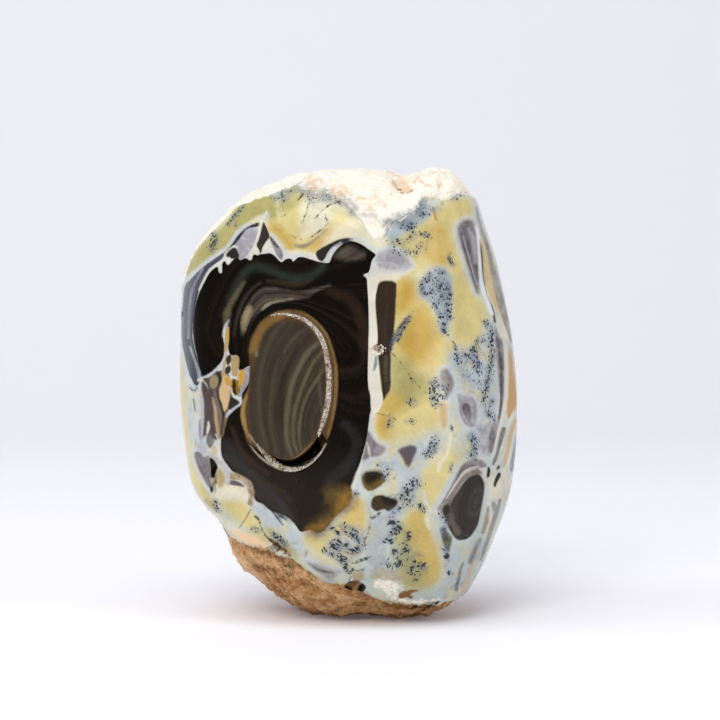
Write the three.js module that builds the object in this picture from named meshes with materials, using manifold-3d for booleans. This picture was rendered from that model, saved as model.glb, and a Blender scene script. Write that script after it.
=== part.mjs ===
// A dendritic opal freeform: a hand-sized nodule of common opal, ground to flat polished faces all
// round and left with its chalky natural skin on top and its earthy matrix underneath. It stands on
// a small flat ground under it. Millimetres, +Z up. -Y is the big polished window with the eye.
import * as THREE from "three";
import { mergeVertices } from "three/addons/utils/BufferGeometryUtils.js";
import Module from "manifold-3d";

// Driving sizes of the whole stone.
const HALF_WIDTH = 27.5; // middle to the widest point of the right side
const HALF_DEPTH = 25.0; // before the faces are ground
const CENTRE_Z = 36.0; // height of the middle of the stone above its flat
const FULLNESS = 3.0; // 2 is an ellipse, more is boxier
const EDGE_CRISPNESS = 34.0; // the higher it is, the tighter the ground ridges
const MIDDLE_SHIFT = [-0.155, 0.36]; // puts the origin under the middle of the stone's box
const FINENESS = 17; // subdivisions of the starting ball
const BALL_STRETCH = [27, 24, 36]; // spreads the ball's points evenly over the long body
const SAME_POINT = 1e-5; // points of the unit ball this close are one
const WELD = 1e-4; // millimetres within which corners are joined
const SEARCH_STEPS = 12; // to find the surface at a given height

// The stone's outline as seen from the front, x and z, anticlockwise from the widest point.
const OUTLINE = [
  [HALF_WIDTH, 34], [27.1, 26], [25.8, 19.3], [23.6, 13.2], [21.2, 7.6], [18.4, 3.0],
  [14.5, -0.8], [2, -1.5], [-8.8, -1.0], [-14.4, 2.3], [-19.4, 7.2], [-20.4, 11.0],
  [-22.5, 16.0], [-25.4, 20.5], [-26.8, 28.1], [-27.7, 37], [-27.6, 45.6], [-27.0, 55.0],
  [-24.9, 59.9], [-21.5, 64.1], [-17.8, 67.8], [-12.0, 70.5], [-7.0, 72.1], [0, 72.6],
  [6, 72.2], [9.2, 71.4], [13.2, 72.8], [16.9, 71.6], [19.6, 68.8], [21.2, 64],
  [22.9, 58.9], [24.9, 51.2], [26.5, 43],
];

// Ground faces and broken slopes: which way each faces, and how far it lies from the middle.
const FACES = {
  window: { faces: [-0.269, -0.963, 0.02], distance: 20.6 },
  frontRight: { faces: [0.41, -0.912, 0.03], distance: 23.4 },
  right: { faces: [0.77, -0.638, 0.06], distance: 24.2 },
  farRight: { faces: [0.96, 0.12, -0.02], distance: 27.0 },
  leftEdge: { faces: [-0.9, -0.42, 0.02], distance: 28.2 },
  left: { faces: [-0.95, 0.42, 0.05], distance: 24.9 },
  backLeft: { faces: [-0.42, 0.9, 0.14], distance: 20.9 },
  backRight: { faces: [0.5, 0.86, -0.05], distance: 21.4 },
  backHigh: { faces: [0.16, 0.84, 0.5], distance: 27.2 },
  backLow: { faces: [-0.12, 0.86, -0.48], distance: 25.4 },
  topFront: { faces: [0, -0.7, 0.714], distance: 35.6 },
  topBack: { faces: [-0.1, 0.6, 0.79], distance: 32.6 },
  underLeft: { faces: [-0.566, -0.289, -0.772], distance: 35.0 },
  underFront: { faces: [0.1, -0.62, -0.78], distance: 39.0 },
  underBack: { faces: [0, 0.66, -0.75], distance: 33.8 },
};

// The polish ends at these heights: [azimuth in degrees, height]. Azimuth 0 is the front, 90 the
// right. Above the first line is the chalky skin, and below the second the earthy matrix.
const SKIN_LINE = [
  [-160, 58], [-135, 55.5], [-110, 57], [-92, 54.6], [-78, 55], [-70, 59], [-61, 63.9],
  [-47, 66.4], [-35, 68.2], [-19, 67.7], [-3, 66], [4, 63.6], [12, 60.1], [18, 62.6],
  [28, 64.4], [37, 66.7], [45, 66.4], [54, 67.4], [63, 67], [80, 64.5], [100, 61],
  [125, 63], [150, 60.5], [175, 57.5],
];
const MATRIX_LINE = [
  [-165, 15], [-140, 12.5], [-115, 14.5], [-92, 16], [-75, 17.5], [-60, 16.6], [-50, 13.8],
  [-36, 12], [-24, 10.4], [-12, 7.4], [-3, 6.8], [3, 7.4], [8, 5.4], [18, 4.2], [30, 3.2],
  [45, 3.1], [60, 3.6], [80, 5.5], [105, 9], [130, 7.5], [155, 11], [178, 14],
];

// The unground surface lies a little lower than the polish. It rolls in lumps with creases between
// them. Each wave has a direction with its rate in radians per millimetre, a phase and a height.
const SKIN_DEPTH = 0.25;
const POLISH_FADE = [-0.1, 0.9]; // millimetres past its line over which the polish gives way
const LUMP_WAVES = [
  { rate: [0.3, 0.14, 0.2], phase: 0.4, height: 0.36 },
  { rate: [-0.2, 0.36, 0.3], phase: 1.3, height: 0.32 },
  { rate: [0.34, -0.4, 0.42], phase: 2.1, height: 0.24 },
  { rate: [0.66, 0.48, -0.3], phase: 0.7, height: 0.18 },
  { rate: [-0.55, 0.7, 0.5], phase: 4.0, height: 0.14 },
];
const WARP = { rate: [0.31, 0.37, 0.27], reach: 2.6 }; // bends the waves so that no crease is straight

// Chips and pits broken out of the surface: where each one is, and its half sizes across, up and in.
const PITS = [
  { azimuth: -54.2, height: 23.3, half: [0.55, 2.9, 1.3] }, // open crack beside the window
  { azimuth: 1.8, height: 6.6, half: [1.5, 0.9, 1.6] }, // dark hole under the window
  { azimuth: 37.6, height: 3.2, half: [1.3, 0.8, 1.3] }, // brown hole low on the right
  { azimuth: 25.0, height: 3.0, half: [1.1, 0.6, 0.9] },
  { azimuth: -33.2, height: 12.1, half: [1.3, 0.6, 0.9] }, // glittering nick on the matrix edge
  { azimuth: 11.4, height: 43.6, half: [0.8, 0.65, 0.9] }, // vug on the front ridge
  { azimuth: 9.5, height: 62.8, half: [2.4, 2.4, 0.5] }, // shallow chip in the skin
  { azimuth: 40.5, height: 66.6, half: [0.9, 1.3, 0.6] },
  { azimuth: 52.7, height: 71.0, half: [1.6, 3.2, 0.8] }, // notch between the lumps on top
  { azimuth: -75.3, height: 48.4, half: [1.2, 0.6, 0.5] }, // nick in the left edge
  { azimuth: 168, height: 11.5, half: [2.2, 1.2, 1.7] }, // holes in the matrix behind
  { azimuth: -128, height: 10.5, half: [1.5, 1.0, 1.4] },
  { azimuth: 142, height: 61.5, half: [2.4, 1.3, 0.9] },
];
const PIT_FINENESS = 1;
const PIT_TILT = 0.5; // how far a pit's axis follows the height: 0 is level, 1 points at the middle

// The eye is an oval in the window. A crescent-shaped hollow opens under it, lined with crystals.
const EYE = { azimuth: -26, height: 36.95, halfWidth: 7.75, halfHeight: 12.75 };
const HOLLOW = { from: 208, to: 322, tip: 0.05, width: 2.3, fullAt: 0.8, depth: 3.2, steps: 28 };
const DRUSE = { from: 236, to: 318, gap: 0.32, thickness: 0.75, opening: 0.5, below: 0.5, steps: 20 };
const CUTTER_OVERSHOOT = 3; // a cutter stands this far out of the face

// A smooth closed curve through points [position, value] that repeats every period.
function loopCurve(points, period) {
  const sorted = [...points].sort((a, b) => a[0] - b[0]);
  const moved = (p, by) => [p[0] + by, p[1]];
  const p = [
    ...sorted.slice(-2).map((q) => moved(q, -period)),
    ...sorted,
    ...sorted.slice(0, 2).map((q) => moved(q, period)),
  ];
  const slope = (i) => (p[i + 1][1] - p[i - 1][1]) / (p[i + 1][0] - p[i - 1][0]);
  return (x) => {
    let k = 1;
    while (k < p.length - 3 && p[k + 1][0] <= x) k += 1;
    const span = p[k + 1][0] - p[k][0];
    const t = (x - p[k][0]) / span;
    return (
      (2 * t ** 3 - 3 * t ** 2 + 1) * p[k][1] +
      (t ** 3 - 2 * t ** 2 + t) * span * slope(k) +
      (3 * t ** 2 - 2 * t ** 3) * p[k + 1][1] +
      (t ** 3 - t ** 2) * span * slope(k + 1)
    );
  };
}

const degrees = THREE.MathUtils.radToDeg;
const radians = THREE.MathUtils.degToRad;
const azimuthOf = (p) => degrees(Math.atan2(p.x, -p.y));
const outlineRadius = loopCurve(
  OUTLINE.map(([x, z]) => [Math.atan2(z - CENTRE_Z, x), Math.hypot(x, z - CENTRE_Z)]),
  2 * Math.PI,
);
const skinLine = loopCurve(SKIN_LINE, 360);
const matrixLine = loopCurve(MATRIX_LINE, 360);
const faces = Object.values(FACES).map((f) => ({
  normal: new THREE.Vector3(...f.faces).normalize(),
  distance: f.distance,
}));

// How far out the ground stone reaches along a direction from its middle: the rough nodule's
// outline and every face, run together with soft ridges.
function groundRadius(d) {
  const across = Math.hypot(d.x, d.z) / outlineRadius(Math.atan2(d.z, d.x));
  const deep = Math.abs(d.y) / HALF_DEPTH;
  const nodule = (across ** FULLNESS + deep ** FULLNESS) ** (1 / FULLNESS);
  const sum = faces.reduce(
    (s, f) => s + (Math.max(d.dot(f.normal), 0) / f.distance) ** EDGE_CRISPNESS,
    nodule ** EDGE_CRISPNESS,
  );
  return sum ** (-1 / EDGE_CRISPNESS);
}

// Millimetres past the polish's edge: above 0 on the natural skin and matrix.
function pastPolish(p) {
  const azimuth = azimuthOf(p);
  return Math.max(p.z - skinLine(azimuth), matrixLine(azimuth) - p.z);
}

// How far the lumps leave the natural surface below its highest level.
function lumpDrop(p) {
  const bend = (a, rate, phase) => WARP.reach * Math.sin(a * rate + phase);
  const [rx, ry, rz] = WARP.rate;
  const q = new THREE.Vector3(bend(p.y, rx, 1), bend(p.z, ry, 2), bend(p.x, rz, 0.5)).add(p);
  return LUMP_WAVES.reduce((drop, w) => {
    const wave = Math.abs(Math.sin(q.dot(new THREE.Vector3(...w.rate)) + w.phase));
    return drop + w.height * (1 - wave);
  }, 0);
}

// The finished surface along a direction from the middle, cut off flat at the floor.
function surfacePoint(d) {
  const ground = groundRadius(d);
  const p = d.clone().multiplyScalar(ground);
  p.z += CENTRE_Z;
  const natural = THREE.MathUtils.smoothstep(pastPolish(p), ...POLISH_FADE);
  const lowered = ground - natural * (SKIN_DEPTH + lumpDrop(p));
  const toFloor = d.z < 0 ? CENTRE_Z / -d.z : Infinity;
  p.copy(d).multiplyScalar(Math.min(lowered, toFloor));
  p.z = Math.max(p.z + CENTRE_Z, 0);
  return p;
}

// The surface point at an azimuth and a height.
function surfaceAt(azimuth, height) {
  const a = radians(azimuth);
  let tilt = 0;
  let p;
  for (let i = 0; i < SEARCH_STEPS; i += 1) {
    const level = new THREE.Vector3(Math.sin(a), -Math.cos(a), 0).multiplyScalar(Math.cos(tilt));
    p = surfacePoint(level.setZ(Math.sin(tilt)));
    tilt = Math.atan2(height - CENTRE_Z, Math.hypot(p.x, p.y));
  }
  return p;
}

const wasm = await Module();
wasm.setup();

function toSolid(geometry) {
  const bare = geometry.clone();
  bare.deleteAttribute("normal");
  bare.deleteAttribute("uv");
  const merged = mergeVertices(bare, WELD);
  return new wasm.Manifold(
    new wasm.Mesh({
      numProp: 3,
      vertProperties: new Float32Array(merged.attributes.position.array),
      triVerts: new Uint32Array(merged.index.array),
    }),
  );
}

function toGeometry(solid) {
  const mesh = solid.getMesh();
  const geometry = new THREE.BufferGeometry();
  geometry.setAttribute("position", new THREE.BufferAttribute(mesh.vertProperties, 3));
  geometry.setIndex(new THREE.BufferAttribute(mesh.triVerts, 1));
  geometry.computeVertexNormals();
  return geometry;
}

// The stone before it is pitted: a ball of even triangles pushed out to the surface.
function bodySolid() {
  const ball = new THREE.IcosahedronGeometry(1, FINENESS);
  const position = ball.getAttribute("position");
  const d = new THREE.Vector3();
  for (let i = 0; i < position.count; i += 1) {
    d.fromBufferAttribute(position, i);
    const key = d.toArray().map((x) => Math.round(x / SAME_POINT) * SAME_POINT);
    d.set(key[0] * BALL_STRETCH[0], key[1] * BALL_STRETCH[1], key[2] * BALL_STRETCH[2]);
    const p = surfacePoint(d.normalize());
    position.setXYZ(i, p.x, p.y, p.z);
  }
  return toSolid(ball);
}

// Axes on the surface at a point: across, up and out.
function surfaceAxes(out) {
  const across = new THREE.Vector3(0, 0, 1).cross(out).normalize();
  return new THREE.Matrix4().makeBasis(across, out.clone().cross(across), out);
}

function pitCutter({ azimuth, height, half }) {
  const centre = surfaceAt(azimuth, height);
  const out = new THREE.Vector3(centre.x, centre.y, (centre.z - CENTRE_Z) * PIT_TILT).normalize();
  const geometry = new THREE.IcosahedronGeometry(1, PIT_FINENESS).scale(...half);
  geometry.applyMatrix4(surfaceAxes(out));
  return toSolid(geometry.translate(centre.x, centre.y, centre.z));
}

// A point on the eye's oval at an angle, drawn in by some millimetres.
function ovalPoint(angle, inwards) {
  const a = radians(angle);
  const onOval = new THREE.Vector2(EYE.halfWidth * Math.cos(a), EYE.halfHeight * Math.sin(a));
  return onOval.multiplyScalar(1 - inwards / onOval.length());
}

// A crescent along the oval, between two depths measured inwards from it, extruded into the face.
function crescent(from, to, steps, outer, inner, top, bottom) {
  const angle = (i) => from + ((to - from) * i) / steps;
  const index = [...Array(steps + 1).keys()];
  const rim = index.map((i) => ovalPoint(angle(i), outer));
  const back = index.map((i) => ovalPoint(angle(i), inner(angle(i)))).reverse();
  const shape = new THREE.Shape([...rim, ...back]);
  const geometry = new THREE.ExtrudeGeometry(shape, { depth: top - bottom, bevelEnabled: false });
  geometry.translate(0, 0, bottom);
  geometry.applyMatrix4(surfaceAxes(faces[0].normal));
  const centre = surfaceAt(EYE.azimuth, EYE.height);
  return toSolid(geometry.translate(centre.x, centre.y, centre.z));
}

// The hollow widens from its left tip and ends bluntly on the right.
function hollowWidth(angle) {
  const along = (angle - HOLLOW.from) / (HOLLOW.to - HOLLOW.from) / HOLLOW.fullAt;
  return HOLLOW.tip + HOLLOW.width * Math.sin((Math.min(along, 1) * Math.PI) / 2);
}

function hollowCutter() {
  const { from, to, steps, depth } = HOLLOW;
  return crescent(from, to, steps, 0, hollowWidth, CUTTER_OVERSHOOT, -depth);
}

// The crust of small crystals along the hollow's lower wall.
function druseSolid() {
  const { from, to, steps, gap, thickness, opening, below } = DRUSE;
  const inner = (angle) => Math.min(gap + thickness, hollowWidth(angle) - opening);
  return crescent(from, to, steps, gap, inner, -below, gap - HOLLOW.depth);
}

function part(name, solid, colour, roughness) {
  const material = new THREE.MeshStandardMaterial({ color: colour, roughness, metalness: 0 });
  const mesh = new THREE.Mesh(toGeometry(solid), material);
  mesh.name = name;
  mesh.position.set(-MIDDLE_SHIFT[0], -MIDDLE_SHIFT[1], 0);
  return mesh;
}

const pitted = PITS.map(pitCutter).reduce((stone, pit) => stone.subtract(pit), bodySolid());
const stone = new THREE.Group();
stone.add(part("stone", pitted.subtract(hollowCutter()), 0xcfc79a, 0.15));
stone.add(part("druse_crust", druseSolid(), 0xd9d6cc, 0.3));

export default stone;
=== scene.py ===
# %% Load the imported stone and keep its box
import itertools
import math
import bmesh
import bpy
import numpy as np
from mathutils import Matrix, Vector


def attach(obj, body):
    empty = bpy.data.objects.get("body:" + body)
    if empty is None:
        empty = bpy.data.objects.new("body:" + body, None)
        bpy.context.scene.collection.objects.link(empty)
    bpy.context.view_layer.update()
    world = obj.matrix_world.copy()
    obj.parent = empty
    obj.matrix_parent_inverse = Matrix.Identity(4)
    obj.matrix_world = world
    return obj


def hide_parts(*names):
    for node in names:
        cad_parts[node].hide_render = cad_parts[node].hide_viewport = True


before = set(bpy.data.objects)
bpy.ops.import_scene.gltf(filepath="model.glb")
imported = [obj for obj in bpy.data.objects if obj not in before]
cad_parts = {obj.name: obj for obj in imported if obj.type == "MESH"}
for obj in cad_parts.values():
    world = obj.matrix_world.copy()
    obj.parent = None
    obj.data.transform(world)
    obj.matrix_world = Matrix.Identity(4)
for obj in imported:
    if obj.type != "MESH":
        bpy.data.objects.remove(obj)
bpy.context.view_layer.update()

# %% [markdown]
# # A dendritic opal freeform
# The real thing is a hand-sized nodule of common opal. Someone ground flat faces round it, polished
# them, and left the chalky skin on top and the earthy matrix underneath. Everything that makes it
# worth a look is colour inside the stone: a black window with an eye, milky and ochre clouds, and
# black mineral ferns. This lesson builds one closed mesh for the stone, paints it with fields
# that are stored on its points, and grows two small crusts of crystals on it.
#
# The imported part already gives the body. It is too coarse to carry fine edges, so a finer mesh
# takes its place. It comes from the same formula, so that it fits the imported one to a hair.

# %% Sizes of the body, in millimetres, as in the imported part
HALF_WIDTH = 27.5
HALF_DEPTH = 25.0
CENTRE_Z = 36.0
FULLNESS = 3.0
EDGE_CRISPNESS = 34.0
TO_PACKED_FRAME = np.array([0.155, -0.36, 0])
MM = 0.001

OUTLINE = [
    (HALF_WIDTH, 34), (27.1, 26), (25.8, 19.3), (23.6, 13.2), (21.2, 7.6), (18.4, 3.0), (14.5, -0.8),
    (2, -1.5), (-8.8, -1.0), (-14.4, 2.3), (-19.4, 7.2), (-20.4, 11.0), (-22.5, 16.0), (-25.4, 20.5),
    (-26.8, 28.1), (-27.7, 37), (-27.6, 45.6), (-27.0, 55.0), (-24.9, 59.9), (-21.5, 64.1),
    (-17.8, 67.8), (-12.0, 70.5), (-7.0, 72.1), (0, 72.6), (6, 72.2), (9.2, 71.4), (13.2, 72.8),
    (16.9, 71.6), (19.6, 68.8), (21.2, 64), (22.9, 58.9), (24.9, 51.2), (26.5, 43),
]
FACES = {
    "window": ((-0.269, -0.963, 0.02), 20.6),
    "front right": ((0.41, -0.912, 0.03), 23.4),
    "right": ((0.77, -0.638, 0.06), 24.2),
    "far right": ((0.96, 0.12, -0.02), 27.0),
    "left edge": ((-0.9, -0.42, 0.02), 28.2),
    "left": ((-0.95, 0.42, 0.05), 24.9),
    "back left": ((-0.42, 0.9, 0.14), 20.9),
    "back right": ((0.5, 0.86, -0.05), 21.4),
    "back high": ((0.16, 0.84, 0.5), 27.2),
    "back low": ((-0.12, 0.86, -0.48), 25.4),
    "top front": ((0, -0.7, 0.714), 35.6),
    "top back": ((-0.1, 0.6, 0.79), 32.6),
    "under left": ((-0.566, -0.289, -0.772), 35.0),
    "under front": ((0.1, -0.62, -0.78), 39.0),
    "under back": ((0, 0.66, -0.75), 33.8),
}

# %% [markdown]
# A closed curve is needed three times: for the outline, and for the two lines where the polish ends.
# Each is a smooth curve through a few points that repeats all the way round, so one helper makes
# them all.

# %% Closed curves and the ground body
def smoothstep(low, high, x):
    t = np.clip((x - low) / (high - low), 0, 1)
    return t * t * (3 - 2 * t)


def loop_curve(points, period):
    """A smooth curve through (position, value) points that repeats every period."""
    p = np.array(sorted(points), float)
    step = np.array([period, 0])
    p = np.vstack([p[-2:] - step, p, p[:2] + step])
    slope = (p[2:, 1] - p[:-2, 1]) / (p[2:, 0] - p[:-2, 0])

    def value(x):
        k = np.clip(np.searchsorted(p[:, 0], x, side="right") - 1, 1, len(p) - 3)
        span = p[k + 1, 0] - p[k, 0]
        t = (x - p[k, 0]) / span
        return (
            (2 * t**3 - 3 * t**2 + 1) * p[k, 1]
            + (t**3 - 2 * t**2 + t) * span * slope[k - 1]
            + (3 * t**2 - 2 * t**3) * p[k + 1, 1]
            + (t**3 - t**2) * span * slope[k]
        )

    return value


def unit(v):
    return v / np.linalg.norm(v, axis=-1, keepdims=True)


outline_reach = loop_curve(
    [(math.atan2(z - CENTRE_Z, x), math.hypot(x, z - CENTRE_Z)) for x, z in OUTLINE], 2 * math.pi
)
face_normals = unit(np.array([direction for direction, _ in FACES.values()]))
face_distances = np.array([distance for _, distance in FACES.values()])


def ground_reach(d):
    """How far the ground body reaches from its middle along unit directions d."""
    across = np.hypot(d[:, 0], d[:, 2]) / outline_reach(np.arctan2(d[:, 2], d[:, 0]))
    deep = np.abs(d[:, 1]) / HALF_DEPTH
    nodule = (across**FULLNESS + deep**FULLNESS) ** (1 / FULLNESS)
    faces = (np.maximum(d @ face_normals.T, 0) / face_distances) ** EDGE_CRISPNESS
    return (faces.sum(1) + nodule**EDGE_CRISPNESS) ** (-1 / EDGE_CRISPNESS)


print("the body has", len(FACES), "ground faces and reaches",
      round(float(ground_reach(np.array([[0.0, -1.0, 0.0]]))[0]), 1), "mm to the front")

# %% [markdown]
# Above one wavy line the stone keeps its white, chalky skin, and below another it keeps a tan crust
# of matrix. Both are a little lower than the polish and roll in small lumps. A real skin also has
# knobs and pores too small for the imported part, so random numbers that change smoothly in space,
# which is what noise means here, lower it a little more. They only ever take away, so the stone
# never grows out of its packed box.

# %% Where the polish ends, and the relief of the skin
SKIN_LINE = [
    (-160, 58), (-135, 55.5), (-110, 57), (-92, 54.6), (-78, 55), (-70, 59), (-61, 63.9), (-47, 66.4),
    (-35, 68.2), (-19, 67.7), (-3, 66), (4, 63.6), (12, 60.1), (18, 62.6), (28, 64.4), (37, 66.7),
    (45, 66.4), (54, 67.4), (63, 67), (80, 64.5), (100, 61), (125, 63), (150, 60.5), (175, 57.5),
]
MATRIX_LINE = [
    (-165, 15), (-140, 12.5), (-115, 14.5), (-92, 16), (-75, 17.5), (-60, 16.6), (-50, 13.8), (-36, 12),
    (-24, 10.4), (-12, 7.4), (-3, 6.8), (3, 7.4), (8, 5.4), (18, 4.2), (30, 3.2), (45, 3.1), (60, 3.6),
    (80, 5.5), (105, 9), (130, 7.5), (155, 11), (178, 14),
]
SKIN_DEPTH = 0.25
LINE_WANDER = 0.5
MATRIX_ROUGHER = 1.5
LUMP_WAVES = [  # rates along x, y and z, phase, height in millimetres
    ((0.3, 0.14, 0.2), 0.4, 0.36), ((-0.2, 0.36, 0.3), 1.3, 0.32), ((0.34, -0.4, 0.42), 2.1, 0.24),
    ((0.66, 0.48, -0.3), 0.7, 0.18), ((-0.55, 0.7, 0.5), 4.0, 0.14),
]
WARP_RATE = (0.31, 0.37, 0.27)
WARP_REACH = 2.6
KNOBS = [(0.8, 0.3), (1.9, 0.14), (4.2, 0.06)]  # waves per millimetre, height in millimetres
KEEP_INSIDE = 0.1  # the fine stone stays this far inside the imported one
skin_line = loop_curve(SKIN_LINE, 360)
matrix_line = loop_curve(MATRIX_LINE, 360)


def noise(p, seed):
    """Smooth random numbers from -1 to 1 that change over a distance of one."""
    cell = np.floor(p).astype(np.int64)
    t = p - cell
    t = t * t * (3 - 2 * t)
    total = np.zeros(len(p))
    for corner in itertools.product((0, 1), repeat=3):
        c = cell + corner
        mixed = (c[:, 0] * 73856093) ^ (c[:, 1] * 19349663) ^ (c[:, 2] * 83492791) ^ (seed * 25214903)
        mixed = (mixed * 2246822519) & 0xFFFFFFFF
        mixed = ((mixed ^ (mixed >> 13)) * 3266489917) & 0xFFFFFFFF
        share = np.prod(np.where(corner, t, 1 - t), axis=1)
        total += share * ((mixed ^ (mixed >> 16)) / 2.0**31 - 1)
    return total


def azimuth_of(p):
    """Degrees round the stone: 0 is the front and 90 the right."""
    return np.degrees(np.arctan2(p[:, 0], -p[:, 1]))


def past_skin(p):
    return p[:, 2] - skin_line(azimuth_of(p)) + LINE_WANDER * noise(p * 0.7, 11)


def past_matrix(p):
    return matrix_line(azimuth_of(p)) - p[:, 2] + LINE_WANDER * noise(p * 0.8, 12)


def lump_drop(p):
    phases = p[:, [1, 2, 0]] * WARP_RATE + (1, 2, 0.5)
    bend = WARP_REACH * np.sin(phases)
    drop = np.zeros(len(p))
    for rate, phase, height in LUMP_WAVES:
        drop += height * (1 - np.abs(np.sin((p + bend) @ np.array(rate) + phase)))
    return drop


def knob_drop(p):
    return sum(height * (1 + noise(p * rate, 20 + k)) for k, (rate, height) in enumerate(KNOBS))


def body_reach(d):
    """How far the finished body reaches, before it is pitted."""
    ground = ground_reach(d) - KEEP_INSIDE
    p = d * ground[:, None] + (0, 0, CENTRE_Z)
    rough = np.maximum(past_skin(p), past_matrix(p))
    natural = smoothstep(-0.1, 0.9, rough)
    knobs = knob_drop(p) * np.where(past_matrix(p) > 0, MATRIX_ROUGHER, 1.0)
    return ground - natural * (SKIN_DEPTH + lump_drop(p) + knobs)


print("the skin starts at", round(float(skin_line(0)), 1), "mm and the matrix ends at",
      round(float(matrix_line(0)), 1), "mm at the front")

# %% [markdown]
# Chips, pits and the open crack beside the window are small ellipsoids taken out of the surface.
# A boolean could do that, but every point of this stone can be reached from its middle in a
# straight line, so it is enough to pull the points that lie inside an ellipsoid back to where the
# line enters it. That costs nothing and leaves no bad triangles.

# %% Pits and chips
PITS = [  # azimuth, height, half sizes across, up and in
    (-54.2, 23.3, (0.55, 2.9, 1.3)), (1.8, 6.6, (1.5, 0.9, 1.6)), (37.6, 3.2, (1.3, 0.8, 1.3)),
    (25.0, 3.0, (1.1, 0.6, 0.9)), (-33.2, 12.1, (1.3, 0.6, 0.9)), (11.4, 43.6, (0.8, 0.65, 0.9)),
    (9.5, 62.8, (2.4, 2.4, 0.5)), (40.5, 66.6, (0.9, 1.3, 0.6)), (52.7, 71.0, (1.6, 3.2, 0.8)),
    (-75.3, 48.4, (1.2, 0.6, 0.5)), (168, 11.5, (2.2, 1.2, 1.7)), (-128, 10.5, (1.5, 1.0, 1.4)),
    (142, 61.5, (2.4, 1.3, 0.9)),
]
PIT_RAGGED = 0.22
AIMS = 12  # tries that bring a line from the middle to a given height
MIDDLE = np.array([0, 0, CENTRE_Z])


def surface_at(azimuth, height):
    """The body's point at an azimuth in degrees and a height."""
    a, tilt = math.radians(azimuth), 0.0
    for _ in range(AIMS):
        d = np.array([[math.sin(a) * math.cos(tilt), -math.cos(a) * math.cos(tilt), math.sin(tilt)]])
        p = d[0] * body_reach(d)[0] + MIDDLE
        tilt = math.atan2(height - CENTRE_Z, math.hypot(p[0], p[1]))
    return p


def axes_on(out):
    """Rows across, up and out at a place that faces out."""
    across = unit(np.cross((0, 0, 1), out))
    return np.array([across, np.cross(out, across), out])


pits = []
for azimuth, height, half in PITS:
    place = surface_at(azimuth, height)
    out = unit(np.array([place[0], place[1], (place[2] - CENTRE_Z) * 0.5]))
    pits.append((place, axes_on(out), np.array(half)))


def pitted_reach(d):
    reach = body_reach(d)
    for place, axes, half in pits:
        near = (d @ unit(place - MIDDLE)) > 0.9
        start = (MIDDLE - place) @ axes.T / half
        way = d[near] @ axes.T / half
        a, b = (way**2).sum(1), way @ start
        p = d[near] * reach[near, None] + MIDDLE
        size = 1 + PIT_RAGGED * noise(p * 1.6, 31)
        inside = b * b - a * (start @ start - size**2)
        root = np.sqrt(np.maximum(inside, 0))
        enters, leaves = (-b - root) / a, (-b + root) / a
        hit = (inside > 0) & (enters < reach[near]) & (leaves > reach[near])
        reach[near] = np.where(hit, enters, reach[near])
    return reach


def place_points(d):
    """The points of the finished surface along directions d, cut off flat at the floor."""
    reach = pitted_reach(d)
    to_floor = np.where(d[:, 2] < 0, CENTRE_Z / np.maximum(-d[:, 2], 1e-9), np.inf)
    p = d * np.minimum(reach, to_floor)[:, None] + MIDDLE
    p[:, 2] = np.maximum(p[:, 2], 0)
    return p


print(len(pits), "pits, the first one at", np.round(pits[0][0], 1))

# %% [markdown]
# The camera is settled before the colours, because the front is drawn through it. A marking on a
# stone has no simple shape of its own, but it has one as it is seen, so every outline on the front is
# drawn on a chart: the flat picture that a long lens takes from in front and a little above. One
# function turns a place on the stone into a place on that chart, 720 steps wide. The colours
# themselves stay on the points of the mesh, so they don't slide when another camera looks.

# %% The camera and the front chart
CHART = 720
LENS_DISTANCE = 420.0  # millimetres from the target
LENS_HEIGHT = math.radians(3)
TARGET = np.array([1.55, 0, 40.7])
STEPS_PER_MM = 6.18  # chart steps per millimetre at the target
SENSOR = 36.0
TOWARDS_LENS = np.array([0, -math.cos(LENS_HEIGHT), math.sin(LENS_HEIGHT)])
CHART_UP = np.array([0, math.sin(LENS_HEIGHT), math.cos(LENS_HEIGHT)])


def on_chart(p):
    """Chart position, across and down, of points in millimetres."""
    away = LENS_DISTANCE - (p - TARGET) @ TOWARDS_LENS
    scale = STEPS_PER_MM * LENS_DISTANCE / away
    across = (p[:, 0] - TARGET[0]) * scale
    up = ((p - TARGET) @ CHART_UP) * scale
    return np.stack([CHART / 2 + across, CHART / 2 - up], 1)


lens = bpy.data.cameras.new("lens")
lens.sensor_width = SENSOR
lens.lens = STEPS_PER_MM * LENS_DISTANCE / CHART * SENSOR
lens.clip_start = 0.01
camera = bpy.data.objects.new("camera", lens)
camera.location = (TARGET + LENS_DISTANCE * TOWARDS_LENS + TO_PACKED_FRAME) * MM
camera.rotation_euler = (math.pi / 2 - LENS_HEIGHT, 0, 0)
bpy.context.scene.collection.objects.link(camera)
bpy.context.scene.camera = camera
print("lens", round(lens.lens, 1), "mm, the top of the stone is at",
      on_chart(surface_at(0, 72)[None]).round(), "on the chart")
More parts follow.
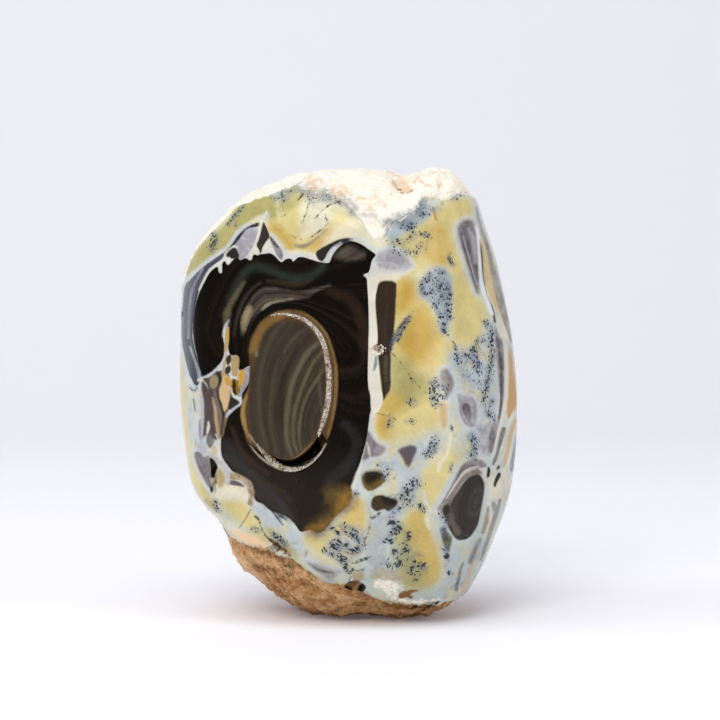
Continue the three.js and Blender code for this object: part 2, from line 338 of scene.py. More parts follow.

# %% [markdown]
# Each marking is an area or a line of one pigment. The list below was drawn, a few points to
# an outline, and a smooth curve runs through them. What the mesh stores isn't a colour but how far
# inside the outline a point lies, divided by how soft the edge is. Between two points of the mesh
# that number changes evenly, so the edge that the material cuts from it stays crisp where the real
# edge is crisp, and soft where the real one is cloudy. Strength makes a thin, see-through film.

# %% Markings on the front chart
# Each area: pigment, softness in chart steps, strength from 0 to 1, and the outline as x, y, x, y.
AREAS = {
    # upper left, under the skin
    "olive_arc": ("olive", 2.5, 1, [181,292, 184,274, 192,258, 203,243, 222,227, 234,212, 248,199, 262,194,
      274,196, 276,219, 261,214, 252,220, 243,227, 236,238, 227,248, 214,256, 194,273]),
    "olive_top": ("olive", 3, 0.8, [278,200, 284,188, 300,183, 304,190, 300,204, 282,212]),
    "yellow_crown": ("yellow", 4, 1, [279,214, 286,206, 298,202, 303,210, 302,224, 304,236, 296,238,
      286,230]),
    "yellow_shoulder": ("yellow", 5, 1, [270,222, 280,220, 292,236, 306,242, 322,236, 330,222, 340,212,
      352,216, 362,228, 356,238, 338,240, 308,254, 292,252, 272,234]),
    "cream_shoulder": ("cream", 5, 0.75, [334,230, 350,222, 366,234, 384,242, 392,252, 380,258, 372,248,
      356,238, 340,238, 326,243]),
    "ochre_band": ("ochre", 4, 1, [270,219, 277,224, 293,241, 292,250, 286,248, 271,229]),
    "ochre_under_smile": ("ochre", 4, 0.8, [306,246, 328,230, 333,234, 326,243, 314,250]),
    "pale_crown_core": ("cream", 5, 0.5, [302,206, 312,202, 316,212, 306,234, 301,228]),
    "pale_crown_right": ("cream", 3, 0.7, [314,206, 326,200, 328,214, 326,224, 318,230, 311,228]),
    "teeth_white": ("cream", 2, 1, [281,252, 288,250, 312,253, 322,259, 338,262, 330,268, 312,266, 298,264,
      285,266, 280,262]),
    "wedge": ("lilac", 0.8, 1, [248,227, 243,231, 239,238, 234,246, 238,251, 239,260, 244,258, 251,250,
      256,240, 259,229]),
    "wedge_cap": ("smoke_top", 0.8, 1, [246,228.5, 252,224.5, 258.5,222.5, 259,226, 252,227.5]),
    "wedge_white": ("cream", 1, 1, [268,240, 272,247, 279,256, 272,257, 260,257, 262,249]),
    "wedge_small_white": ("vein", 0.7, 1, [256,246, 259.5,251, 259,255, 255,254, 254,250]),
    "shard": ("smoke_top", 0.7, 1, [262,221, 265.5,225, 269.5,236, 267,240.5, 263,246.5, 260.3,254, 256,246,
      258.5,239, 260.5,230]),
    "shard_right": ("mauve", 0.8, 1, [269.5,236, 280,247, 283,256, 281,260, 276,254]),
    "slate_band": ("slate", 0.9, 1, [183,300, 184.5,287, 190,279, 207,264, 227,249.5, 238,235, 243,230,
      249,226.5, 245,231, 234,246, 227,251, 222,259, 214,265, 208,272, 199.5,290, 194,314, 192.5,330,
      194,345, 199.5,365, 201,377, 197,386, 192,380, 188,370, 181,335]),
    "lens_under_wedge": ("smoke", 0.8, 1, [225.5,254, 229,249, 233,247.5, 237,249.5, 239,258, 228,258]),
    # the window
    "window": ("dark", 0.6, 1, [192.5,330, 197,299, 207,276, 217,266.5, 219,272.5, 222,272.5, 222,263,
      225,261, 228,265, 234,259, 238,257, 240,260, 246,258, 250,260.5, 252.5,256, 256,254, 263,254, 270,253,
      275,256, 281,262, 286,259, 291,258.5, 293,261.5, 297,258, 303,257, 320,262, 329,262.5, 332,256,
      337,249, 344,243, 352,241, 361,244, 369,249.5, 376,255, 372,260, 369,272, 362,275, 367,279, 368.5,300,
      369,330, 368,372, 369,388, 373,402, 370,414, 366,442, 357,473, 352,487, 351,500, 345,508, 335,517,
      328,526, 320,533, 310,530, 301,532, 296,526, 290,519, 281,514, 271,511, 263,504, 256,501, 252,492,
      249,482, 241,476, 232,471, 222,456, 221,440, 223,425, 227,415, 236,408, 242,403, 242,394, 250,380,
      250,366, 239,371, 238,356, 230,355, 227,340, 228,328, 224,327, 223.5,340, 225.5,350, 222,361, 216,369,
      209,374.5, 201,377, 199,366]),
    "window_lens": ("smoke", 1.0, 1, [315.5,254, 320,249, 335,241, 345,238, 354,239.5, 336,246, 330,250,
      322,262]),
    "taupe_arch": ("taupe", 2.2, 0.95, [243,336, 240,331, 243,318, 252,297, 268,287, 296,292, 310,290,
      316,288, 310,297, 296,299, 280,300, 268,304, 258,312, 251,321]),
    "taupe_bright": ("sand", 2.4, 0.75, [242,331, 242,320, 246,309, 250,305, 252,310, 248,320, 245,330]),
    "dome_glow": ("taupe", 4, 0.9, [335,257, 349,246, 364,254, 356,260]),
    "lower_left_grey": ("smoke", 5, 0.85, [222,442, 230,440, 240,455, 282,500, 296,520, 290,520, 256,498,
      248,482, 232,468, 224,456]),
    "amber_corner": ("amber", 7, 1, [322,494, 334,487, 350,490, 356,502, 333,522, 322,536, 306,533, 330,508,
      321,502]),
    "black_pool": ("dark_top", 4, 1, [300,494, 316,490, 326,498, 318,508, 304,514, 294,510]),
    # left side
    "left_milk": ("milk", 2, 1, [184,358, 190,364, 203,392, 208,430, 207,446, 203,458, 195,456, 190,440,
      184,390]),
    "left_strip": ("yellow", 1.6, 1, [180,350, 184,362, 185,385, 194,455, 205,487, 213,500, 214,508, 206,508,
      198,496, 190,474, 184,445, 178,375]),
    "left_dark": ("ground", 1.4, 1, [202,380, 209,377, 218,371, 226,372, 232,384, 232,400, 227,416, 222,436,
      215,440, 208,434, 203,437, 202,420, 201.5,400]),
    "left_slate_lens": ("mauve", 1, 0.9, [199,421, 201,419, 203.5,426, 203.5,436, 201,442, 199,434]),
    "olive_nodule": ("sand", 1.0, 1, [211,376.5, 214.5,374.5, 218,378, 218,384, 215,388.5, 211,388,
      209.5,382]),
    "left_wedge": ("mauve", 1.1, 1, [194,453, 200,452, 204,457, 209,455, 210,466, 210,478, 211,489, 205,482,
      197,465]),
    "left_blue": ("lilac_top", 1.4, 0.8, [197,445, 204,442, 206,449, 204,455, 199,451]),
    # painted shade: the open crack is filled near black
    "crack_pit": ("cavity_shade", 0.8, 1, [209.5,458, 214,460, 218,467, 216,472, 215,478, 217,482, 214,488,
      211.5,493, 210,488, 210.5,470]),
    "lobe_mauve": ("mauve_dark", 1.2, 0.9, [207,434, 210,431, 214,436, 214,443, 211,448, 208,447, 206,441]),
    "lobe_cream": ("peach", 1.2, 0.8, [212,446, 215,445.5, 217,450, 215.5,455, 211.5,453]),
    "tan_below": ("tan_dim", 2.4, 0.9, [216,471, 220,468, 224,474, 225,483, 221,488, 217,483]),
    "bulbs": ("cream", 3, 1, [214,488, 222,482, 232,484, 246,492, 250,500, 215,499]),
    "lens_grey": ("mauve_dark", 0.9, 1, [227,481, 235,480.5, 241,483, 245,487, 238,486, 228,484]),
    "lens_tan": ("sand", 1, 1, [227,475, 234,474.5, 241,479, 238,480, 228,479]),
    "yellow_wedge": ("ochre", 1.5, 1, [233,487, 240,489, 246,496, 240,496]),
    "lower_left_yellow": ("yellow", 4, 1, [217,503, 230,499, 244,502, 264,530, 270,542, 262,545, 250,532]),
    "lower_left_edge_white": ("cream", 3, 0.9, [206,508, 216,512, 228,520, 252,540, 246,543, 207,513]),
    "low_peach": ("stain", 2.5, 0.85, [234,531, 244,533, 256,538, 270,547, 268,551, 254,548, 240,540]),
    # between crescent and eye
    "nodule_big": ("peach", 1.2, 1, [219,389, 222,381, 222,370, 225,374, 230,379, 231,386, 230,396, 228,405,
      225,412, 222,404, 219.5,397]),
    "nodule_fire": ("ochre_top", 1.3, 1, [224.5,378, 229,377, 231.5,381, 231,386, 227,386]),
    "nodule_sand": ("tan_dim", 1, 1, [232,356, 239,357.5, 238.5,370, 237,376, 232.5,376, 231,366]),
    "nodule_lilac": ("lilac", 0.9, 1, [250,367, 250,376, 248.5,386, 246,392, 241,397, 237.5,397, 239.5,388,
      238,376, 243,369]),
    "nodule_lilac_yellow": ("ochre_top", 1.3, 1, [239,372, 243,369.5, 245,375, 243,384, 239,388, 238,380]),
    "nodule_amber": ("amber", 0.9, 1, [231.5,380, 237,378, 240,382, 240,391, 236.5,396, 232.5,391]),
    "fragment": ("smoke", 1, 1, [229,397, 240,402, 236,408, 229,410]),
    "hole_a": ("smoke_top", 1, 1, [226.5,357, 230,354.5, 231.5,358, 230.5,363, 227,364.5, 226,361]),
    "hole_b": ("smoke_top", 1, 1, [225.5,368, 228,365.5, 231,367, 230,372.5, 227,374, 225,371]),
    # lower edge of the window
    "underside_milk": ("milk", 3, 1, [252,500, 272,512, 284,516, 292,522, 300,533, 306,546, 316,558, 322,570,
      308,562, 262,518, 253,508]),
    "underside_olive": ("olive", 3, 1, [266,522, 274,526, 296,548, 298,558, 288,552, 268,532]),
    "fern_yellow": ("yellow", 4, 1, [303,532, 320,536, 345,511, 354,497, 366,502, 368,518, 364,532, 332,542,
      326,552, 312,548, 304,541]),
    "fern_yellow_core": ("ochre", 5, 0.45, [345,512, 356,500, 362,506, 362,518, 350,522]),
    "fern_field": ("lilac", 5, 0.5, [326,545, 345,530, 362,528, 366,544, 352,560, 338,562]),
    "low_lilac": ("lilac", 2.5, 0.9, [306,561, 330,569, 342,571, 336,576, 331,582, 324,576]),
    # the right of the window
    "yellow_high": ("yellow", 4, 1, [386,238, 414,226, 444,204, 458,198, 468,200, 474,212, 466,218, 456,222,
      454,236, 466,278, 484,314, 484,334, 472,346, 458,344, 452,330, 452,282, 446,268, 428,268, 404,280,
      410,264, 402,252, 390,246]),
    "ochre_high": ("ochre", 6, 0.6, [428,232, 442,228, 448,244, 446,262, 434,264, 426,250]),
    "yellow_centre": ("yellow", 4, 1, [396,282, 408,276, 418,282, 424,298, 434,312, 444,334, 456,350,
      450,366, 438,372, 428,384, 430,396, 440,410, 436,426, 404,436, 390,446, 376,442, 371,428, 371,414,
      376,404, 388,392, 392,372, 391,350, 396,330]),
    "ochre_upper": ("ochre", 5, 1, [397,284, 408,280, 417,288, 416,302, 406,312, 396,314]),
    "ochre_centre": ("ochre", 6, 1, [412,308, 424,308, 434,324, 436,344, 428,360, 414,364, 402,356,
      396,342]),
    "olive_centre": ("olive", 6, 0.9, [394,356, 422,374, 430,386, 424,398, 408,400, 396,392, 391,374]),
    "ochre_lobe_top": ("ochre", 5, 0.8, [386,398, 400,390, 408,398, 402,410, 388,414, 380,408]),
    "ochre_spot": ("ochre", 4, 1, [378,416, 386,412, 390,422, 388,434, 382,438, 377,428]),
    "patch_above": ("lilac", 3, 0.95, [377,256, 384,251, 396,250, 412,266, 386,270, 378,266]),
    "white_bridge": ("cream", 2, 1, [369,272, 376,262, 392,270, 410,266, 414,270, 402,276, 396,281, 380,280,
      369,286, 368,279, 361,275.5]),
    "cream_stem": ("vein", 0.7, 1, [368,277, 380,276, 378,284, 375,302, 377.5,334, 377,348, 380,380, 383,400,
      379,410, 374,414, 371,408, 370.5,396, 368,380, 369,325, 368.5,300]),
    "bar": ("bark", 1.4, 1, [376.5,288, 380,282, 388,280.5, 395,282.5, 396.5,290, 394,334, 391,352, 391,372,
      390.5,388, 386,396, 382.5,401, 381,386, 377.5,350, 377,332, 375,300]),
    "blue_haze_high": ("blue_milk", 5, 1, [384,234, 390,222, 400,216, 414,212, 420,202, 426,198, 430,210,
      424,222, 412,226, 394,242]),
    "blue_haze_mid": ("blue_milk", 4, 1, [418,286, 434,268, 446,270, 452,282, 450,318, 446,332, 440,330,
      436,314, 428,302, 420,298]),
    "milk_right": ("milk", 5, 1, [450,352, 476,346, 490,318, 496,326, 500,400, 497,424, 488,440, 484,456,
      474,462, 460,458, 454,442, 456,424, 448,404, 452,386, 446,372]),
    "milk_under": ("milk", 5, 1, [374,448, 390,444, 404,446, 430,434, 444,434, 444,446, 422,472, 416,502,
      388,520, 374,520, 367,510, 372,494, 385,488, 385,474, 374,468, 362,470, 358,488, 350,494, 350,486,
      364,458]),
    "pale_green": ("olive", 8, 0.35, [398,460, 412,470, 410,484, 396,486, 390,472]),
    "lobe_rim": ("cream", 3, 0.9, [370,412, 374,416, 373,428, 378,440, 390,444, 382,448, 372,438, 368,424]),
    "yellow_low_mid": ("yellow", 5, 0.9, [422,474, 450,446, 462,448, 460,460, 434,500, 424,508, 418,494]),
    "yellow_base": ("yellow", 5, 1, [404,522, 412,510, 424,506, 430,518, 432,532, 440,548, 443,566, 440,580,
      428,588, 412,588, 404,578, 400,538]),
    "ochre_base": ("ochre", 6, 0.6, [412,516, 420,514, 428,530, 436,558, 436,578, 428,582, 418,562,
      412,538]),
    "olive_base": ("olive", 6, 0.8, [396,530, 404,524, 412,540, 416,560, 424,578, 414,588, 402,580]),
    "pale_base": ("lilac", 4, 0.4, [370,520, 384,516, 396,518, 392,532, 384,546, 384,562, 374,566, 367,552,
      366,536]),
    "right_zone_milk": ("milk", 4, 1, [438,510, 446,516, 446,530, 452,544, 462,546, 472,540, 482,526,
      488,500, 486,466, 496,462, 508,468, 508,496, 494,532, 478,566, 462,590, 448,604, 440,590, 446,570,
      430,518]),
    "right_zone_cream": ("cream", 5, 0.8, [486,480, 508,470, 506,492, 488,540, 482,520, 486,500]),
    "grey_blob": ("mauve", 3, 0.8, [441,372, 446,369, 452,376, 453,388, 446,398, 442,390]),
    "peach_streak": ("peach", 2, 1, [440,404, 445,402, 447,412, 447,424, 443,428, 440,416]),
    "bead": ("vein", 0.8, 1, [438.5,394, 440,391, 444,391, 444,395, 441,398]),
    # painted shade: the bead's hole is filled near black
    "bead_hole": ("cavity_shade", 0.6, 1, [440,394.5, 442,393.5, 442.5,395, 440.5,396]),
    "cell": ("lilac", 1.5, 1, [458,393, 465,396, 472,397, 476,403, 477,414, 475,425, 470,427, 464,423,
      460,414, 458.5,403]),
    "cell_core": ("mauve", 0.9, 1, [463,404, 468,403, 471,409, 471.5,417, 470,421.5, 466,419, 462,408]),
    "triangle": ("mauve_dark", 1.8, 1, [398,450, 410,445, 417,448, 415,455, 408,468, 402,457]),
    "dark_wisp": ("mauve", 2, 1, [367,430, 376,442, 386,448, 380,456, 371,457, 363,460, 365,446]),
    "amber_spot": ("amber", 1.6, 1, [362,477, 366,472.5, 375,472, 384,475, 385,482, 372,491, 365,489,
      362,483]),
    "amber_spot_dark": ("dark_top", 3, 0.95, [362,475, 368,471, 380,471, 384,476, 376,482, 366,484]),
    "olive_spot": ("amber_dark", 1.2, 1, [371,502, 374,496.5, 381,495, 388,498, 397,501, 395,507, 388,511.5,
      384,509, 377,511.5, 372,508]),
    "olive_spot_dark": ("dark_top", 2.5, 0.9, [381,495, 397,500.5, 395,506, 386,504, 382,500]),
    # the long lens and the far right stripes
    "long_lens": ("mauve", 2.6, 1, [457,232, 459,224, 465,220, 471,220, 475,225, 478.5,250, 479,285, 478,294,
      474,286, 461,245]),
    "stripe_tan": ("peach_dim", 1.5, 0.9, [480,240, 484,246, 492,280, 498,300, 499,312, 495,308, 485,284,
      483,262]),
    "stripe_grey": ("mauve", 1.5, 0.75, [476,206, 482,226, 489,246, 504,300, 512,340, 508,336, 503,322,
      491,276, 487,252, 480,232]),
    "white_lens": ("vein", 1.1, 1, [496.5,323, 497.5,317, 501,316.5, 504,325, 507.5,334, 508,341, 499,331]),
    "stripe_mauve": ("mauve", 1.3, 0.95, [495,326, 499,336, 503,344, 504,370, 504,396, 502,414, 498,428,
      495,432, 499,414, 500,396, 496,348]),
    "stripe_orange": ("tan", 1.2, 1, [509,346, 512,356, 517,396, 515,410, 510,419, 507,414, 507,396,
      509,374]),
    "mauve_leaf": ("mauve", 1.5, 0.9, [494,420, 497,428, 496,442, 493,452, 489,453, 488,444]),
    "lilac_leaf": ("lilac", 3, 0.8, [480,432, 490,422, 493,430, 488,444, 490,456, 482,452]),
    "slate_leaf": ("slate", 1, 0.7, [501,430, 504,427, 507,431, 503,451, 499,459, 496,466, 492,463,
      496,452]),
    "stripe_tan_low": ("peach_dim", 1.2, 0.9, [512,424, 516,418, 516,430, 511,446, 507,462, 504,468,
      504,456]),
    "stripe_grey_low": ("mauve", 1.6, 0.8, [518,430, 517,452, 513,470, 510,470, 512,456]),
    # the right dark eye
    "right_eye_halo": ("mauve", 1.3, 0.95, [437,509, 443,500, 450,488, 456,474, 463,464, 473,459, 482,460,
      487,466, 481,468, 470,469, 462,476, 448,498, 444,508, 441,512]),
    "right_eye_band": ("taupe_pale", 1.2, 0.9, [446,500, 453,490, 461,478, 469,471, 478,469, 483,474,
      474,475, 466,480, 458,490, 451,504, 448,514, 443,514]),
    "right_eye_core": ("umber", 1.2, 1, [479,474, 484,482, 484,493, 479,521, 474,532, 467,539, 458,540,
      452,534, 447,524, 444,513, 449,504, 463,483, 470,476]),
    "right_eye_left_pit": ("smoke", 2, 1, [442,508, 449,503, 450,512, 444,516]),
    "right_eye_lower": ("teal_dark", 2, 0.85, [440,529, 446,531, 452,538, 447,553]),
    "bean_a": ("smoke", 0.8, 1, [488,466.5, 490.3,469, 490,475, 488,478, 486.5,476]),
    "bean_b": ("smoke", 0.8, 1, [496.5,468, 499,465, 500,467.5, 496.7,470.5]),
    "bean_c": ("smoke", 0.8, 1, [497,474, 500.5,472.5, 501,476, 497.5,482, 495,487.5, 493.5,484]),
    "bean_d": ("mauve", 1, 0.9, [491.5,503, 494,501.5, 496.5,505, 495,512, 493,511]),
    # the chip in the skin
    "chip_face": ("cream", 2, 0.85, [356,208, 366,200, 380,202, 387,216, 385,228, 380,237, 376,239, 368,231,
      360,221]),
    # the cavities at the foot, and the crescent: painted shade, near black, inside the hollows
    "foot_cavity": ("cavity_shade", 0.9, 1, [344,587, 347,583, 352,581, 358,582, 364,584, 366,588, 362,592,
      356,590, 350,590]),
    "crescent_hollow": ("cavity_shade", 0.5, 1, [250.5,443.5, 264,454.5, 282,461, 293,459.5, 304,453, 312,445,
      318,437.5, 319.5,444, 321.5,451, 315,457, 296,465.5, 285,466.5, 274,463.5, 264,458.5, 256,451.5]),
    # the eye, the foot and the skin
    "eye_ring": ("gold", 0.9, 1, [292,309.5, 303,311, 312,317, 320,324.5, 326,332, 331,342, 334.5,354,
      336.5,366, 337.5,380, 337.5,393, 336,406, 334,418, 331,431, 326,443, 321,452, 313,459.5, 302,466.5,
      290,469.5, 278,468, 266,462, 256,454, 249,446, 245,436, 242.5,424, 241.5,410, 243,401, 247,392,
      249,380, 249.5,366, 249,352, 251,341, 255,331, 261,322, 268,316, 276,312, 284,310]),
    "rim_chalk": ("chalk", 0.8, 1, [262,186, 262,198, 250,199, 240,203, 232,212, 222,222, 208,236, 198,247,
      190,262, 186,276, 180,290, 172,290, 180,250, 225,195]),
    "low_mud": ("mud", 4, 0.7, [371,572, 379,569, 388,570, 398,572, 403,579, 394,582, 384,578, 374,579]),
    "low_white": ("chalk", 2.5, 0.95, [374,581, 384,579, 396,583, 405,588, 397,590, 399,597, 387,592,
      377,587]),
    "low_brown": ("rust", 1, 1, [397,598, 402,592, 411,590, 420,590.5, 411,594, 414,599, 405,598]),
    "low_tan": ("mud", 1, 1, [352,577, 354,571, 358,573, 363,571, 364,577, 361,581, 355,580]),
    "skin_stain_a": ("stain", 3.5, 0.7, [394,182, 402,180, 412,189, 404,193, 396,190]),
    "skin_stain_b": ("stain", 4.5, 0.5, [306,180, 316,178, 322,184, 314,189, 307,187]),
    "skin_stain_c": ("stain", 4.5, 0.5, [332,188, 341,186, 346,193, 338,198, 333,195]),
    "ring_glow": ("gold_bright", 3.5, 0.9, [250,352, 253,338, 260,325, 270,316, 282,312, 290,313, 268,328,
      262,337, 257,350]),
    "eye_inside": ("eye", 3, 1, [250,383, 253,370, 257,360, 259.5,350, 261.5,340, 266,331, 273,325,
      281,321.5, 290,320.5, 300,322, 308,327, 315,335, 320,345, 323,356, 325,368, 326,380, 326,392, 325,404,
      322,416, 318,429, 313,438, 304,448, 293,457, 283,460, 272,456, 264,451, 257,444, 252,436, 249.5,426,
      248.5,414, 249,400]),
}

